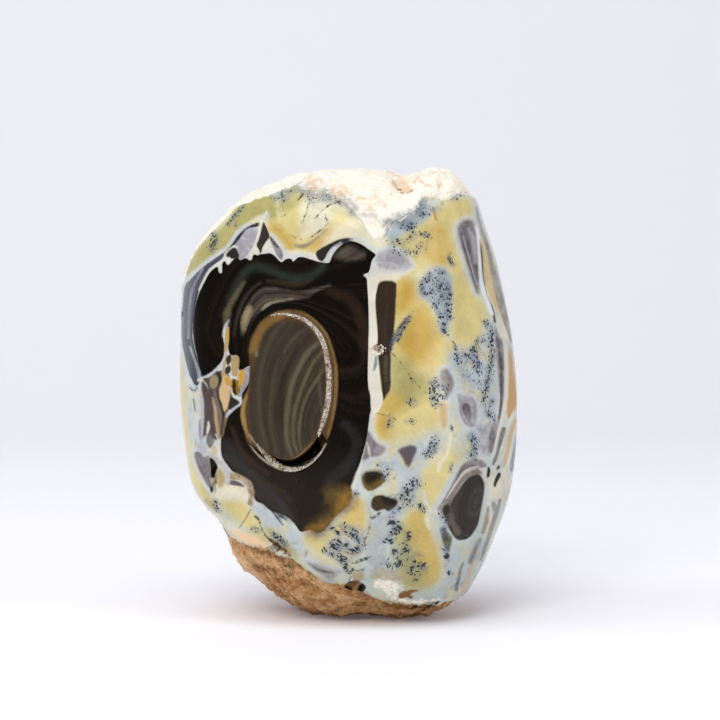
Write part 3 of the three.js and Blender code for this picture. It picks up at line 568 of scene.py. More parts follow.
# Each line or narrow band: pigment, softness, strength, half widths from start to end, and its route.
LINES = {
    "arc_pale_edge": ("milk_top", 1.2, 0.6, (0.7, 0.5), [188,281, 203,265, 228,247, 236,236, 252,222]),
    "slate_inner_edge": ("vein", 1, 0.8, (0.9, 1.1), [199,290, 208,272.5, 213,267, 222,262]),
    "slate_dark": ("dark", 1, 0.62, (0.9, 1.5, 1), [228,250, 234,243.5, 243,231, 249,227]),
    "slate_streak_a": ("milk_top", 1.3, 0.5, (0.6, 1.6), [190,347, 198,369, 200,378]),
    "slate_streak_b": ("slate_dark", 1.3, 0.8, (0.8, 1.6), [186,350, 193,374, 195,383]),
    "slate_streak_c": ("lilac_top", 1.5, 0.35, (0.5, 0.9, 0.5), [203,268, 195,283, 190,300, 188,338]),
    "slate_streak_d": ("slate_dark", 2, 0.6, (1, 2, 2), [208,265, 199,276, 186,305, 184,322]),
    "wedge_vein": ("vein", 1, 0.85, (0.7, 1.2, 1.3, 0.9), [267,211, 262.5,219, 258.3,236, 252,252, 251,259]),
    "wedge_pale_top": ("milk_top", 2.5, 0.6, (2.5, 1), [267,215, 262,221]),
    "wedge_edge_light": ("vein", 0.9, 0.8, (0.6, 1), [226,258, 225,254, 233,246.5, 237,247]),
    "shard_light": ("mauve", 0.8, 0.9, (0.5, 0.9), [262.5,223, 265,229, 267.5,235]),
    "shard_right_dark": ("dark", 1, 0.7, (0.8, 1.6, 0.8), [270,237, 274,243, 278.5,248]),
    "tooth_cream": ("vein", 0.9, 0.9, (2.2, 0.6), [228.5,259, 228.5,263.5]),
    "smile_upper": ("rust", 0.9, 0.7, (0.5, 0.6, 0.5), [290,234, 297,238.5, 307,239.5]),
    "smile_dark": ("ink", 0.8, 0.75, (0.4, 0.9, 0.7, 0.4), [311,237, 322,229.5, 327,224]),
    "smile_grey": ("ash", 1.6, 0.75, (1, 1.9, 1, 0.6), [295,245.5, 302,246.5, 311,243, 326,230]),
    "branch_a": ("ink", 0.7, 0.9, (0.4, 0.9, 0.7), [297.5,200.5, 300,197.5, 303,193.5]),
    "branch_b": ("ink", 0.8, 0.55, (0.4, 0.8, 0.5, 0.8), [308,204, 307,211, 302,222.5]),
    "branch_c": ("ink", 0.8, 0.8, (0.7, 0.5, 0.9, 0.5, 0.3), [315,218, 328,206, 348,199]),
    "branch_d": ("ink", 0.8, 0.6, (0.4, 0.6, 0.7), [325.5,214, 326,219, 328,223]),
    "branch_e": ("ink", 0.8, 0.8, (0.9, 0.6), [281.5,217, 285,214.5]),
    "lens_white": ("milk_top", 1.5, 0.7, (0.5, 1.4, 1.5, 1), [342,242, 335,247, 329,254, 327,261]),
    "dome_streak_a": ("mauve", 1.6, 0.7, (0.8, 1.2, 0.6), [337,247, 345,241.5, 354,242]),
    "teal_band": ("teal", 4, 0.95, (2.5, 4, 3.5, 3), [229,300, 243,275, 252,268, 262,267.5, 288,277, 302,278,
      314,274, 323,266]),
    "olive_leg": ("olive_dim", 2.8, 0.9, (2.5, 3.6, 2.2, 1.4), [226.5,325, 227,314, 230.5,304, 244,282]),
    "olive_under_teal": ("olive_dark", 3, 0.85, (1.5, 2.6, 2, 1), [268,281, 298,284, 312,279]),
    "faint_arch_a": ("taupe_dark", 2, 0.85, (1, 1.6, 1), [234,335, 237,318, 243,302, 251,290, 260,283]),
    "pale_streak": ("sand_pale", 1.3, 0.95, (0.8, 1.6, 1.2, 0.8), [262,309.5, 267,305, 274,302, 292,299]),
    "pale_streak_far": ("taupe", 1.5, 0.9, (1.0, 1.6, 1.2), [292,299, 302,297.5, 313,291.5, 330,285]),
    "right_faint_b": ("rust_dark", 5, 0.6, (3, 5), [330,292, 350,300, 362,320, 366,345]),
    "right_faint_c": ("smoke_cool", 5, 0.55, (3, 4), [345,425, 357,440, 350,462, 330,480]),
    "left_rust": ("rust_dark", 3, 0.95, (1.5, 2.8, 2), [232,428, 244,455, 268,474]),
    "left_cool_a": ("smoke_cool", 3, 0.95, (2.5, 3, 2), [226,456, 238,464, 276,498, 290,514]),
    "left_olive": ("olive_dark", 3, 0.5, (1.5, 2), [252,470, 266,482, 284,494, 296,510]),
    "milk_strip_a": ("lilac_top", 1, 0.9, (0.6, 1.6, 1.6, 1), [200.5,388, 202,400, 202.5,420, 201,441]),
    "milk_strip_b": ("dark", 1, 0.62, (0.6, 1, 0.5), [193.5,399, 194.5,405, 195,412]),
    "milk_strip_c": ("slate", 1, 0.7, (0.8, 0.8), [190,388, 194,391, 197,388]),
    "cream_line_a": ("tan_top", 0.8, 1, (1.2, 2.2, 1.9, 1.4, 1.4, 1.2), [227.5,327, 227,336, 226.3,346,
      225.5,355, 224,366, 223.5,376]),
    "cream_line_orange": ("ochre_top", 1.2, 0.8, (1, 1.6, 1), [227.5,328, 227.5,334, 227,341]),
    "cream_line_blue": ("milk_top", 1, 0.9, (0.5, 1.2, 1.2, 0.6), [229,320, 226,325, 224,331, 222.5,337]),
    "cream_line_b": ("milk_top", 0.9, 0.95, (0.8, 0.9, 0.9, 0.8, 1), [226,352, 223,361, 218,367, 210,374,
      199,379]),
    "cream_line_d": ("vein", 0.8, 0.85, (0.5, 0.7, 0.5), [232,376.5, 236,378.5, 238,380]),
    "lattice_a": ("vein", 0.8, 0.9, (2, 0.8, 0.5, 0.4), [199,380, 203,381, 206,384, 208,389]),
    "nodule_dark_side": ("smoke", 0.9, 1, (0.7, 1.3, 1.4, 1.3, 1.5, 1.4, 1.2, 0.7), [216,371, 219.5,376,
      220,385, 218.5,395, 221,404, 223.5,413, 223,424, 220.5,435]),
    "wavy_mauve": ("taupe_pale", 1.2, 0.9, (1.4, 2.6, 2.6, 1.6), [214.5,391, 217,404, 219.5,416, 219.5,430]),
    "wavy_cream": ("tan_top", 1.1, 1, (0.8, 1.5, 1.6, 1.5, 1), [212.5,398, 215.2,409, 216,420, 218,432,
      220,438]),
    "wavy_end": ("vein", 1, 0.85, (0.9, 1, 1.4, 1), [216,434, 218.5,441, 219,450, 220,460]),
    "fragment_blue": ("milk_top", 1, 0.85, (1.1, 1.5, 1), [240,404, 229,413, 226.5,417]),
    "fragment_white": ("vein", 0.8, 0.85, (0.5, 0.8, 0.9, 0.7), [224.5,386, 231,388, 232,393.5, 236,397,
      241,398]),
    "window_left_rim": ("olive_top", 1.2, 0.9, (1.2, 1.6, 1.2, 0.8), [226.5,411, 226,418, 224,427,
      222.5,436]),
    "white_triangle": ("vein", 1, 0.9, (0.5, 1.8, 0.8), [208.5,421, 208.5,427, 207,434]),
    "ridge_white": ("lilac_top", 1.3, 0.9, (1, 2, 2.5, 2.6, 1.6), [208,452, 213,457, 221,463, 227,471,
      228,485]),
    "ragged_edge": ("mud", 1.6, 1, (0.8, 1.9, 2.4, 2.2, 1.2), [230,473, 241,477, 248.5,484, 252,493,
      252,504]),
    "ragged_grit": ("rust", 1.6, 0.5, (1, 2, 2.2, 1.6), [231,474, 242,478, 249,486, 251,496, 250,506]),
    "ragged_light": ("chalk", 1.4, 0.45, (0.8, 1.2, 1.4, 1.2), [235,476, 244,480, 248,489, 249,500]),
    "loop_b": ("ash", 0.9, 0.7, (0.6, 0.7, 0.5), [250.5,510, 246,518, 239,528]),
    # painted shade: a near-black dot in the pin hole
    "pin_hole": ("cavity_shade", 0.8, 0.9, (1.2, 1.6, 1), [255,516.5, 257,517.5, 259,520]),
    "crack_low_a": ("ink", 0.8, 0.6, (0.4, 0.6, 0.9), [259,519, 262,530, 268,538]),
    "crack_low_b": ("ink", 1.2, 0.85, (0.9, 1.6, 1.4, 0.8), [268,538, 283,549, 288,554]),
    "crack_low_c": ("ink", 1, 0.6, (0.8, 1.1, 0.5), [275,536, 280,540, 286,543]),
    "blue_hint": ("milk_top", 3, 0.9, (2.4, 3), [262,511, 268,524]),
    "dark_oval": ("dark_top", 0.9, 0.9, (1, 1.9, 1.9, 1), [234,380.5, 234,385, 234.3,390, 235,395]),
    "gold_nick": ("rust", 1.6, 1, (1.2, 2.6, 2.6, 1.4), [270,540, 276,545, 283,550, 290,555]),
    "left_shade": ("olive", 2.4, 0.8, (1.5, 2.4, 2), [206,500, 212,508, 220,513]),
    "lower_mauve_a": ("slate_dark", 1.1, 1, (0.5, 1.7, 0.5), [272,511, 277,517, 283,525]),
    "lower_mauve_b": ("slate_dark", 1, 1, (0.6, 1.6, 0.5), [275,511, 281,516, 288,521]),
    "low_lilac_line": ("slate", 1.2, 0.8, (0.5, 1.6, 0.8), [308,563, 319,570, 333,573]),
    "bar_streak": ("taupe_dark", 1.5, 0.8, (0.8, 1.1, 0.8), [386,284, 386.5,305, 385,330, 386,345]),
    "bar_low_light": ("taupe", 2, 0.6, (1, 2, 1.5), [386,356, 386,375, 387,390]),
    "stem_smut": ("haze", 1.4, 0.9, (1, 1.6, 1), [376,357, 375.5,364, 374,370]),
    "fuzzy_line": ("haze", 1.8, 0.6, (0.8, 1.7, 2, 1.6), [410,315, 396,333, 391,350]),
    "fuzzy_line_core": ("ink", 1.2, 0.6, (0.5, 1.1, 1.2), [409,317, 400,327, 394,339, 391,349]),
    "crack_a": ("rust", 0.7, 0.6, (0.3, 0.35, 0.35), [391,352, 402,364, 413,380, 426,393]),
    "crack_b": ("rust", 0.7, 0.7, (0.35, 0.4, 0.5), [445,333, 451,339, 456,347]),
    "crack_e": ("rust", 0.7, 0.55, (0.3, 0.4, 0.3), [377,413, 390,416.5, 399,422]),
    "gold_streak": ("amber_bright", 1, 0.9, (0.5, 1.2, 1.4, 1), [433.5,207, 435.5,218, 436.5,220]),
    "tan_arc": ("tan", 1.4, 0.6, (0.6, 1.4, 0.8), [432.5,200, 436,195.5, 443,195.5]),
    "lens_line_a": ("lilac_top", 0.9, 0.7, (0.4, 0.7, 0.6, 0.5), [463,236, 472,268, 477,285]),
    "lens_line_b": ("mauve_dark", 1.2, 0.6, (0.8, 1.3, 1, 0.6), [461,232, 464,248, 476,286]),
    "lens_line_c": ("lilac_top", 2.4, 0.6, (1, 2.2, 1.6), [468,229, 473,240, 476,262]),
    "lens_white_edge": ("vein_blue", 1, 0.95, (0.6, 1.2, 1.2, 1.6, 2.2, 1.8), [475.5,226, 478,236, 482,284,
      492,314]),
    "lens_dark_edge": ("umber", 0.8, 0.85, (0.8, 1.1, 1.2, 1, 1.3, 1), [477.8,238, 481,250, 483.4,281,
      487,297, 492.5,309, 495,322]),
    "cream_edge": ("vein", 1, 0.95, (0.6, 1.5, 1.8, 1.9, 1.8, 1.2, 0.8), [506,346, 506.5,388, 504.5,406,
      492,458]),
    "mauve_dark_line": ("umber", 1, 0.6, (0.5, 0.8, 0.9, 0.5), [498,340, 501,365, 501.5,395, 499,418]),
    "white_tail_a": ("vein", 1, 0.85, (1.2, 1.5, 1.2, 1), [514,412, 509,424, 500,455, 495,466]),
    "white_tail_b": ("vein", 1, 0.8, (0.8, 1.3, 1.3), [516,424, 508,462, 502,474]),
    "right_eye_white": ("vein", 0.9, 0.8, (0.5, 0.7, 0.8, 0.6), [446,499, 462,474.5, 470,468.5, 479,466.5]),
    "right_eye_milk": ("milk_top", 2.4, 0.8, (1.6, 2.4, 1.8), [436,506, 452,478, 458,466]),
    "right_eye_warm": ("taupe_pale", 3, 0.6, (1.5, 2.5), [449,508, 452,522, 458,532]),
    "mauve_low_a": ("mauve", 2, 0.7, (1.2, 2, 1.5), [488,508, 486,522, 483,532]),
    "mauve_low_b": ("mauve", 2.4, 0.75, (1.5, 2.4, 1.5), [480,540, 474,552, 470,562]),
    "mauve_low_c": ("slate", 2, 0.6, (1, 2, 1), [500,500, 494,520, 481,560]),
    "mauve_low_d": ("slate", 1.5, 0.6, (0.8, 1.4), [463,563, 460,572, 456,590]),
    "tan_low_edge": ("peach_dim", 2, 0.6, (1, 2, 1.5), [474,560, 468,580, 462,594]),
    "pitted_crack": ("vein", 1.4, 0.8, (1, 1.5, 1.2, 1.8, 1.2), [451,428, 449,445, 446,456, 440,463,
      438,471]),
    "pitted_crack_low": ("vein", 1.8, 0.9, (1.5, 2.4, 1.6), [424,492, 425,500, 431,512]),
    "white_hook": ("vein", 2.2, 0.8, (1.5, 2.2, 1.5), [428,512, 427,522, 430,528]),
    "wisp_a": ("vein", 1.2, 0.75, (0.5, 1.3, 0.6), [367,442, 369,450, 370,458]),
    "window_low_right_edge": ("vein", 1.2, 0.75, (1, 1.6, 2), [362,463, 357,475, 353,487]),
    "chip_edge_a": ("vein", 0.8, 0.8, (0.4, 0.7, 0.7), [356,210, 361,222, 376,239]),
    "chip_edge_b": ("vein", 0.8, 0.8, (0.7, 0.8, 0.5), [380,238, 384,230, 386,224]),
    "crust_line": ("rust", 1, 0.8, (0.5, 1, 0.6), [346,552, 354,554, 362,551]),
    "crust_dark": ("ink", 1.2, 0.8, (1.0, 1.4, 1.2), [353,563, 362,560, 371,556]),
    "foot_crack": ("ink", 0.9, 0.6, (0.6, 0.8, 0.7, 0.8), [371,518, 369,530, 365,541, 366,549]),
    "spot_tail": ("ink", 1.2, 0.8, (1, 1.6, 0.8), [381,512, 376,516, 371,517]),
    "eye_dark_a": ("eye_dark", 2.4, 0.7, (1, 2.4, 2, 1), [298,346, 284,378, 281,410, 284,440]),
    "eye_glint": ("ash", 1.6, 0.9, (1, 1.5), [256,352, 256.5,355]),
    "eye_arc_a": ("eye_pale", 2.2, 1, (1.2, 2.4, 2.6, 2.4, 2.2, 1.2), [318,343, 306,355, 293,381, 287,412,
      287,440, 292,456]),
    "eye_arc_b": ("eye_pale", 1.8, 1, (0.8, 1.5, 1.4, 1.3, 0.8), [322,352, 313,363, 303,385, 295,410,
      293,436, 297,452]),
    "eye_arc_c": ("eye_pale", 1.6, 0.9, (0.5, 1.2, 1.1, 1, 0.5), [326,366, 319,376, 308,394, 302,410,
      299,432, 301,450]),
    "eye_arc_d": ("eye_faint", 1.8, 1, (0.6, 1.5, 1.6, 1), [326,358, 320,374, 320,392, 322,412]),
    "eye_arc_e": ("eye_faint", 2.4, 1, (0.8, 1.7, 1.5, 1), [284,322, 272,336, 263,362, 259,387, 260,420,
      267,449]),
    "eye_arc_f": ("eye_faint", 2.2, 1, (0.8, 1.4, 1.3, 1), [278,360, 272,388, 270,420, 276,452]),
    "eye_arc_g": ("eye_faint", 2.2, 1, (0.8, 1.8, 0.8), [308,326, 294,338, 284,352]),
    "ring_left_low": ("gold_pale", 1.6, 0.95, (1, 1.8, 2, 1), [247,396, 243,408, 244,422, 248,436]),
    "lip_highlight": ("sand_pale", 1, 0.95, (0.5, 1.2, 0.6), [249,434, 252.5,439, 257,445]),
    "low_tan_edge": ("ink", 0.9, 0.85, (0.7, 1, 0.8, 1), [349,581, 351,575, 353,569, 358,571, 364,569]),
    "low_white_a": ("chalk", 3, 0.8, (2, 3, 2), [386,592, 398,599, 410,602]),
    "low_white_b": ("chalk", 2, 0.85, (0.8, 2, 2, 0.8), [404,600, 414,602, 428,602, 438,600]),
    "low_crevice_a": ("rust", 1.6, 0.95, (1.2, 2.4, 2.6, 1.5), [384,604, 398,607, 414,607, 428,606]),
    "low_crevice_b": ("ink", 1.2, 1, (1.0, 1.6, 1.2), [421,611, 430,606, 438,602]),
    "low_crevice_c": ("ink", 1.2, 0.9, (0.8, 1.4, 1.0), [407,609, 414,607, 420,607]),
    "matrix_rim": ("stain", 6, 0.85, (3, 5, 5, 3), [226,538, 232,554, 243,568, 258,580]),
    "matrix_dark_a": ("rust", 3.5, 0.9, (1.5, 3, 3, 2), [254,548, 264,553, 276,557, 286,563]),
    "matrix_dark_b": ("ink", 3, 0.6, (1.5, 3, 2), [284,566, 289,570, 291,576]),
    "matrix_dark_c": ("rust", 3.5, 0.9, (2, 3.5, 3), [254,566, 265,568, 276,573]),
    "skin_haze_a": ("haze_top", 6, 0.5, (3, 5, 5, 4, 3), [298,186, 312,190, 326,194, 340,199, 352,208]),
    "skin_haze_b": ("haze_top", 6, 0.6, (3, 5, 5, 3), [388,224, 402,218, 414,214, 422,204]),
    "skin_crease": ("rust", 1.2, 0.7, (0.5, 1, 0.8, 0.5), [393,181, 398,189, 405,193, 413,190]),
    "skin_crease_b": ("stain", 1.4, 0.9, (0.6, 1.6, 0.8), [355,200, 360,198, 366,198]),
    "skin_crease_c": ("stain", 1.6, 0.9, (0.8, 1.4, 0.8), [418,178, 424,184, 430,186]),
    "ring_left": ("gold_bright", 1.8, 0.95, (0.6, 1.5, 1.8, 1), [249.5,388, 243.5,402, 243,414, 246,430,
      251,442]),
    "ring_right": ("gold_bright", 1.3, 0.9, (0.5, 0.9, 1.2, 1.4, 1.3, 1), [296,311.5, 311,318, 325,332.5,
      334,357, 336.3,382, 334,410, 328,434]),
    "ring_foot": ("gold_bright", 0.9, 0.9, (0.5, 0.7, 0.6), [257,447, 272,457, 286,461.5, 298,456, 312,443]),
    "seam": ("seam_shadow", 1.2, 1, (0.7, 1.2, 1.5, 1.9, 2.6, 2.4, 2.8, 2.9, 2.6, 1.6), [271,315.5, 282,314,
      293,315.5, 305,320, 315,329, 323,342, 327,358, 329,376, 328.5,398, 325,416, 319,434]),
    "lip": ("sand_pale", 0.8, 0.95, (0.9, 1.8, 2.2, 2.4, 2.1, 1.2), [251,446, 260,456, 270,463, 283,468.5,
      297,468, 309,462, 320,452]),
}

# Ferns by place, each with its strength, its reach in chart steps and its route.
DENDRITES = {
    "foot": [(1.1, 3.5, [215,502, 218,509]), (1.1, 3.5, [253,529, 258,531]), (1, 4, [274,535, 280,540,
      286,546])],
    "left_tuft": [(0.9, 5, [213,234, 215,241, 211,247]), (0.8, 3.5, [216,244, 211,250])],
    "edge": [(0.9, 3, [228,224, 240,210, 243,207]), (0.8, 2.5, [234,221, 236,226]), (0.75, 4, [276,198,
      283,200, 282,192]), (0.6, 4, [283,190, 290,188, 288,197])],
    "crown": [(0.62, 6, [306,192, 318,198, 330,197, 340,202]), (0.75, 4, [305,192, 311,201, 318,199]), (0.5,
      5, [352,213, 364,210, 376,216])],
    "high_right": [(1, 7, [401,222, 406,224, 411,226]), (0.95, 5, [418,212, 421,206, 422,214]), (0.6, 5,
      [424,216, 430,212, 437,209]), (0.85, 4, [421,234, 428,236]), (0.6, 6, [424,244, 412,254, 404,246,
      414,234]), (0.6, 6, [392,244, 399,242]), (0.8, 3, [396,252, 400,253]), (0.8, 3.5, [449,257, 452,265])],
    "shoulder": [(0.7, 4, [450,194, 455,198, 462,194])],
    "mid": [(1, 5, [430,276, 423,284, 424,292, 432,291]), (0.95, 3, [438,271, 444,272]), (0.9, 7, [438,282,
      442,290, 441,298]), (0.95, 4.5, [447,285, 449,297, 448,308, 449,318]), (0.8, 4, [431,300, 437,308]),
      (1, 4, [438,312, 442,319, 443,328, 446,333]), (0.8, 3, [455,346, 457,350])],
    "right": [(1, 5, [457,356, 459,361]), (0.8, 6, [464,354, 470,357, 476,352]), (0.95, 6, [473,350,
      476,362, 479,371]), (0.75, 4, [476,345, 479,339, 486,342]), (0.9, 4.5, [485,322, 491,330, 492,344]),
      (0.9, 5, [492,345, 492,360, 489,372]), (0.9, 4.5, [488,378, 485,392, 484,404]), (0.75, 5, [492,400,
      488,412, 494,418]), (0.5, 7, [458,366, 468,376, 480,384])],
    "centre": [(0.85, 4.5, [410,401, 414,404]), (0.85, 3.5, [407,422, 414,421]), (1.1, 6.5, [434,384,
      435,394, 435,402]), (0.95, 4, [444,398, 446,388]), (0.9, 2.5, [411,379, 413,381]), (0.9, 3.5, [391,417,
      389,425]), (1, 3.5, [397,340, 404,326, 410,316])],
    "cluster": [(1.1, 6, [435,442, 432,450, 427,454]), (0.9, 6, [471,436, 475,446, 472,456]), (0.8, 2.5,
      [451,426, 452,430]), (0.85, 2.5, [452,464, 450,472]), (0.8, 3, [478,426, 480,430]), (0.95, 7.5,
      [416,483, 408,490, 404,498]), (0.6, 7, [412,496, 402,508, 394,512]), (0.95, 4, [420,506, 424,510]),
      (0.7, 5, [380,465, 388,468, 386,478]), (0.85, 2.5, [355,493, 358,495])],
    "fern": [(1, 5, [341,526, 350,533, 360,540]), (1, 5, [332,545, 340,548, 346,545]), (0.9, 4, [345,526,
      354,531, 357,536]), (0.9, 3.5, [325,551, 331,555]), (0.9, 5, [337,556, 344,562, 348,570]), (0.95, 4,
      [352,550, 360,547]), (0.7, 3.5, [331,528, 338,534, 337,541])],
    "low": [(1, 6, [392,523, 398,527, 392,534]), (0.8, 4, [382,541, 386,540, 393,542]), (0.9, 4.5,
      [394,550, 394,555]), (1.1, 4, [400,562, 398,566]), (0.95, 4.5, [404,551, 408,549]), (0.75, 4.5,
      [405,542, 408,534]), (0.7, 4.5, [386,563, 391,567]), (0.9, 5, [411,570, 416,566, 425,568]), (0.6, 5,
      [414,557, 420,555, 404,560]), (0.6, 4, [414,580, 418,577]), (0.75, 4, [445,548, 448,558]), (0.6, 4,
      [446,566, 450,572])],
    "beside_eye": [(0.8, 4, [441,516, 446,524, 444,530])],
}

# %% How far a place lies inside a marking
def smooth_curve(points, closed, steps):
    """A smooth curve through the points, with some steps from each point to the next."""
    p = np.array(points, float).reshape(-1, 2)
    if closed:
        p = np.vstack([p[-1], p, p[:2]])
    else:
        p = np.vstack([2 * p[0] - p[1], p, 2 * p[-1] - p[-2]])
    a, b, c, d = (p[k:len(p) - 3 + k, None] for k in range(4))
    t = (np.arange(steps) / steps)[None, :, None]
    bend = 2 * b + (c - a) * t + (2 * a - 5 * b + 4 * c - d) * t**2 + (3 * b - a - 3 * c + d) * t**3
    curve = (0.5 * bend).reshape(-1, 2)
    return curve if closed else np.vstack([curve, p[-2]])


def beside(places, start, end):
    """How far along a straight piece each place lies, from 0 to 1, and how far from it."""
    run = end - start
    along = np.clip((places - start) @ run / max(run @ run, 1e-9), 0, 1)
    return along, np.hypot(*(places - start - along[:, None] * run).T)


def inside_area(places, curve):
    """Distance inside a closed curve, negative outside."""
    near = np.full(len(places), 1e9)
    within = np.zeros(len(places), bool)
    x, y = places.T
    for start, end in zip(curve, np.roll(curve, -1, 0)):
        near = np.minimum(near, beside(places, start, end)[1])
        if start[1] != end[1]:
            crosses = (start[1] > y) != (end[1] > y)
            within ^= crosses & (x < start[0] + (y - start[1]) / (end[1] - start[1]) * (end[0] - start[0]))
    return np.where(within, near, -near)


def inside_line(places, curve, half_widths):
    """Distance inside a stroke whose half width changes along it, negative outside."""
    half = np.interp(np.linspace(0, 1, len(curve)), np.linspace(0, 1, len(half_widths)), half_widths)
    deep = np.full(len(places), -1e9)
    for k in range(len(curve) - 1):
        along, away = beside(places, curve[k], curve[k + 1])
        deep = np.maximum(deep, half[k] + (half[k + 1] - half[k]) * along - away)
    return deep


def cap(strength):
    """The highest edge value that still gives only this much of the pigment."""
    if strength >= 1:
        return FAR_INSIDE
    low, high = -1.0, 1.0
    for _ in range(30):
        middle = (low + high) / 2
        if smoothstep(-1, 1, middle) < strength:
            low = middle
        else:
            high = middle
    return low


FAR_INSIDE = 9.0
CLOUDS = ("yellow", "ochre", "olive", "milk", "cream")
CLOUD_SOFTNESS = 1.7  # clouds have wider edges than they were first drawn with
MARKS = []  # pigment, softness, strength, curve, half widths of a line
for pigment, softness, strength, outline in AREAS.values():
    curve = smooth_curve(outline, True, 3)
    wider = CLOUD_SOFTNESS if pigment in CLOUDS and softness >= 3 else 1
    MARKS.append((pigment, softness * wider, strength, curve, None))
for pigment, softness, strength, half_widths, route in LINES.values():
    MARKS.append((pigment, softness, strength, smooth_curve(route, False, 4), half_widths))


def measured_marks(places, reach):
    """Every marking with the places near it and how far inside it they lie."""
    for pigment, softness, strength, curve, half_widths in MARKS:
        margin = reach + softness * 1.5 + (max(half_widths) if half_widths else 0)
        low, high = curve.min(0) - margin, curve.max(0) + margin
        near = np.flatnonzero(((places > low) & (places < high)).all(1))
        if len(near) == 0:
            continue
        if half_widths:
            deep = inside_line(places[near], curve, half_widths)
        else:
            deep = inside_area(places[near], curve)
        yield pigment, softness, strength, half_widths, near, deep


print(len(AREAS), "areas,", len(LINES), "lines and ferns in", len(DENDRITES), "places are drawn")

# %% [markdown]
# Under the eye a crescent has opened, and along the eye's right rim runs a narrow groove. Both are
# pressed straight into the window face. How deep they go follows from how far inside them a point
# lies, so their walls stay clean however the mesh runs across them.

# %% The crescent hollow and the groove round the eye
EYE_AZIMUTH, EYE_HEIGHT = -26, 36.95
EYE_HALF_WIDTH, EYE_HALF_HEIGHT = 7.75, 12.75
HOLLOW_FROM, HOLLOW_TO = 208, 322  # degrees round the oval
HOLLOW_WIDTH, HOLLOW_DEPTH = 2.3, 3.1
LEDGE_LEFT, LEDGE_RIGHT, LEDGE_DEPTH = 1.1, 0.5, 0.55  # the step that carries the crystals
LEDGE_NARROWS = (225, 300)  # from and to these degrees
TIP_WIDTH, WIDEST_SHARE = 0.05, 0.8  # the crescent is widest at this share of its length
MM_PER_DEGREE = 0.17  # along the oval
WALL_RUN, FLOOR_RUN = 0.3, 0.35  # millimetres over which a wall goes down
FLOOR_RUGGED = 0.2
GROOVE_DEPTH = 0.28
GROOVE_FROM, GROOVE_TO = (262, 300), (342, 450)  # the part of the chart that holds it
NEAR_FACE = 3  # millimetres
eye_axes = axes_on(face_normals[0])
eye_middle = surface_at(EYE_AZIMUTH, EYE_HEIGHT)


def hollow_width(angle):
    along = (angle - HOLLOW_FROM) / (HOLLOW_TO - HOLLOW_FROM)
    return TIP_WIDTH + HOLLOW_WIDTH * np.sin(np.clip(along / WIDEST_SHARE, 0, 1) * math.pi / 2)


def ledge_width(angle):
    return LEDGE_LEFT + (LEDGE_RIGHT - LEDGE_LEFT) * smoothstep(*LEDGE_NARROWS, angle)


def round_the_eye(p):
    """Degrees round the eye's oval and millimetres in from it, for places on the window face."""
    across, up, out = ((p - eye_middle) @ eye_axes.T).T
    angle = np.degrees(np.arctan2(up / EYE_HALF_HEIGHT, across / EYE_HALF_WIDTH)) % 360
    turn = np.radians(angle)
    rim = np.hypot(EYE_HALF_WIDTH * np.cos(turn), EYE_HALF_HEIGHT * np.sin(turn))
    inwards = np.where(np.abs(out) < NEAR_FACE, rim - np.hypot(across, up), -99.0)
    return angle, inwards


def inside_hollow(p):
    """Millimetres inside the crescent's rim, negative outside, then in from the oval, and degrees."""
    angle, inwards = round_the_eye(p)
    ends = np.minimum(angle - HOLLOW_FROM, HOLLOW_TO - angle) * MM_PER_DEGREE
    return np.minimum(np.minimum(inwards, hollow_width(angle) - inwards), ends), inwards, angle


def inside_groove(p):
    places = on_chart(p)
    deep = np.full(len(p), -9.0)
    _, _, _, half_widths, route = LINES["seam"]
    near = np.flatnonzero((p[:, 1] < 0) & ((places > GROOVE_FROM) & (places < GROOVE_TO)).all(1))
    if len(near):
        curve = smooth_curve(route, False, 4)
        deep[near] = inside_line(places[near], curve, half_widths) / STEPS_PER_MM
    return deep


def press_in(p):
    """Press the hollow and the groove into points of the radial surface."""
    deep, inwards, angle = inside_hollow(p)
    wall = smoothstep(0, WALL_RUN, deep)
    ledge = LEDGE_DEPTH * smoothstep(0, WALL_RUN, inwards)
    past_ledge = inwards - ledge_width(angle)
    floor = (HOLLOW_DEPTH - LEDGE_DEPTH) * smoothstep(0, FLOOR_RUN, past_ledge)
    rugged = 1 + FLOOR_RUGGED * noise(p * 1.7, 41)
    groove = GROOVE_DEPTH * smoothstep(-0.02, 0.2, inside_groove(p))
    return p - (wall * (ledge + floor * rugged) + groove)[:, None] * face_normals[0]


angles = np.linspace(HOLLOW_FROM, HOLLOW_TO, 7)
print("the crescent is", hollow_width(angles).round(2), "mm wide from its left tip to its right end")

# %% [markdown]
# The mesh starts as a ball of even triangles, and every edge that is longer than it should be is
# cut in two, again and again. How long it should be depends on where it lies: long on a plain
# polished face, shorter on the rough skin, and shortest along a fine line. A triangle is always cut
# through its longest edge too, which keeps thin slivers out. This is how half of the triangles end
# up on a fifth of the stone, and how it stays well under two hundred thousand of them.

# %% How long an edge may be
BALL_STRETCH = np.array([27, 24, 36.0])
BALL_ROUNDS = 6
BACK_EDGE = 0.9
FRONT_EDGE = 0.7
ROUGH_EDGE = 0.66
ROUGH_BACK_EDGE = 1.0
PIT_EDGE, PIT_ZONE = 0.24, 1.35  # the zone is this many times as large as the pit
FRONT_ENDS = 1.0  # millimetres behind the middle
RIM_EDGE = 0.14
WALL_SHARE = 0.3  # an edge that runs down a wall may be this much longer
FINEST_LINE, COARSEST_LINE = 1.05, 2.4  # chart steps
LINE_SHARE = 2.2  # an edge on a line is this many of its half widths long
SHARPEST_RIM, PER_SOFTNESS, WHEN_FAINT = 1.9, 0.95, 1.5  # chart steps at the rim of an area
FADE = 0.6  # how fast edges may grow away from a marking
NO_MARK = 99.0


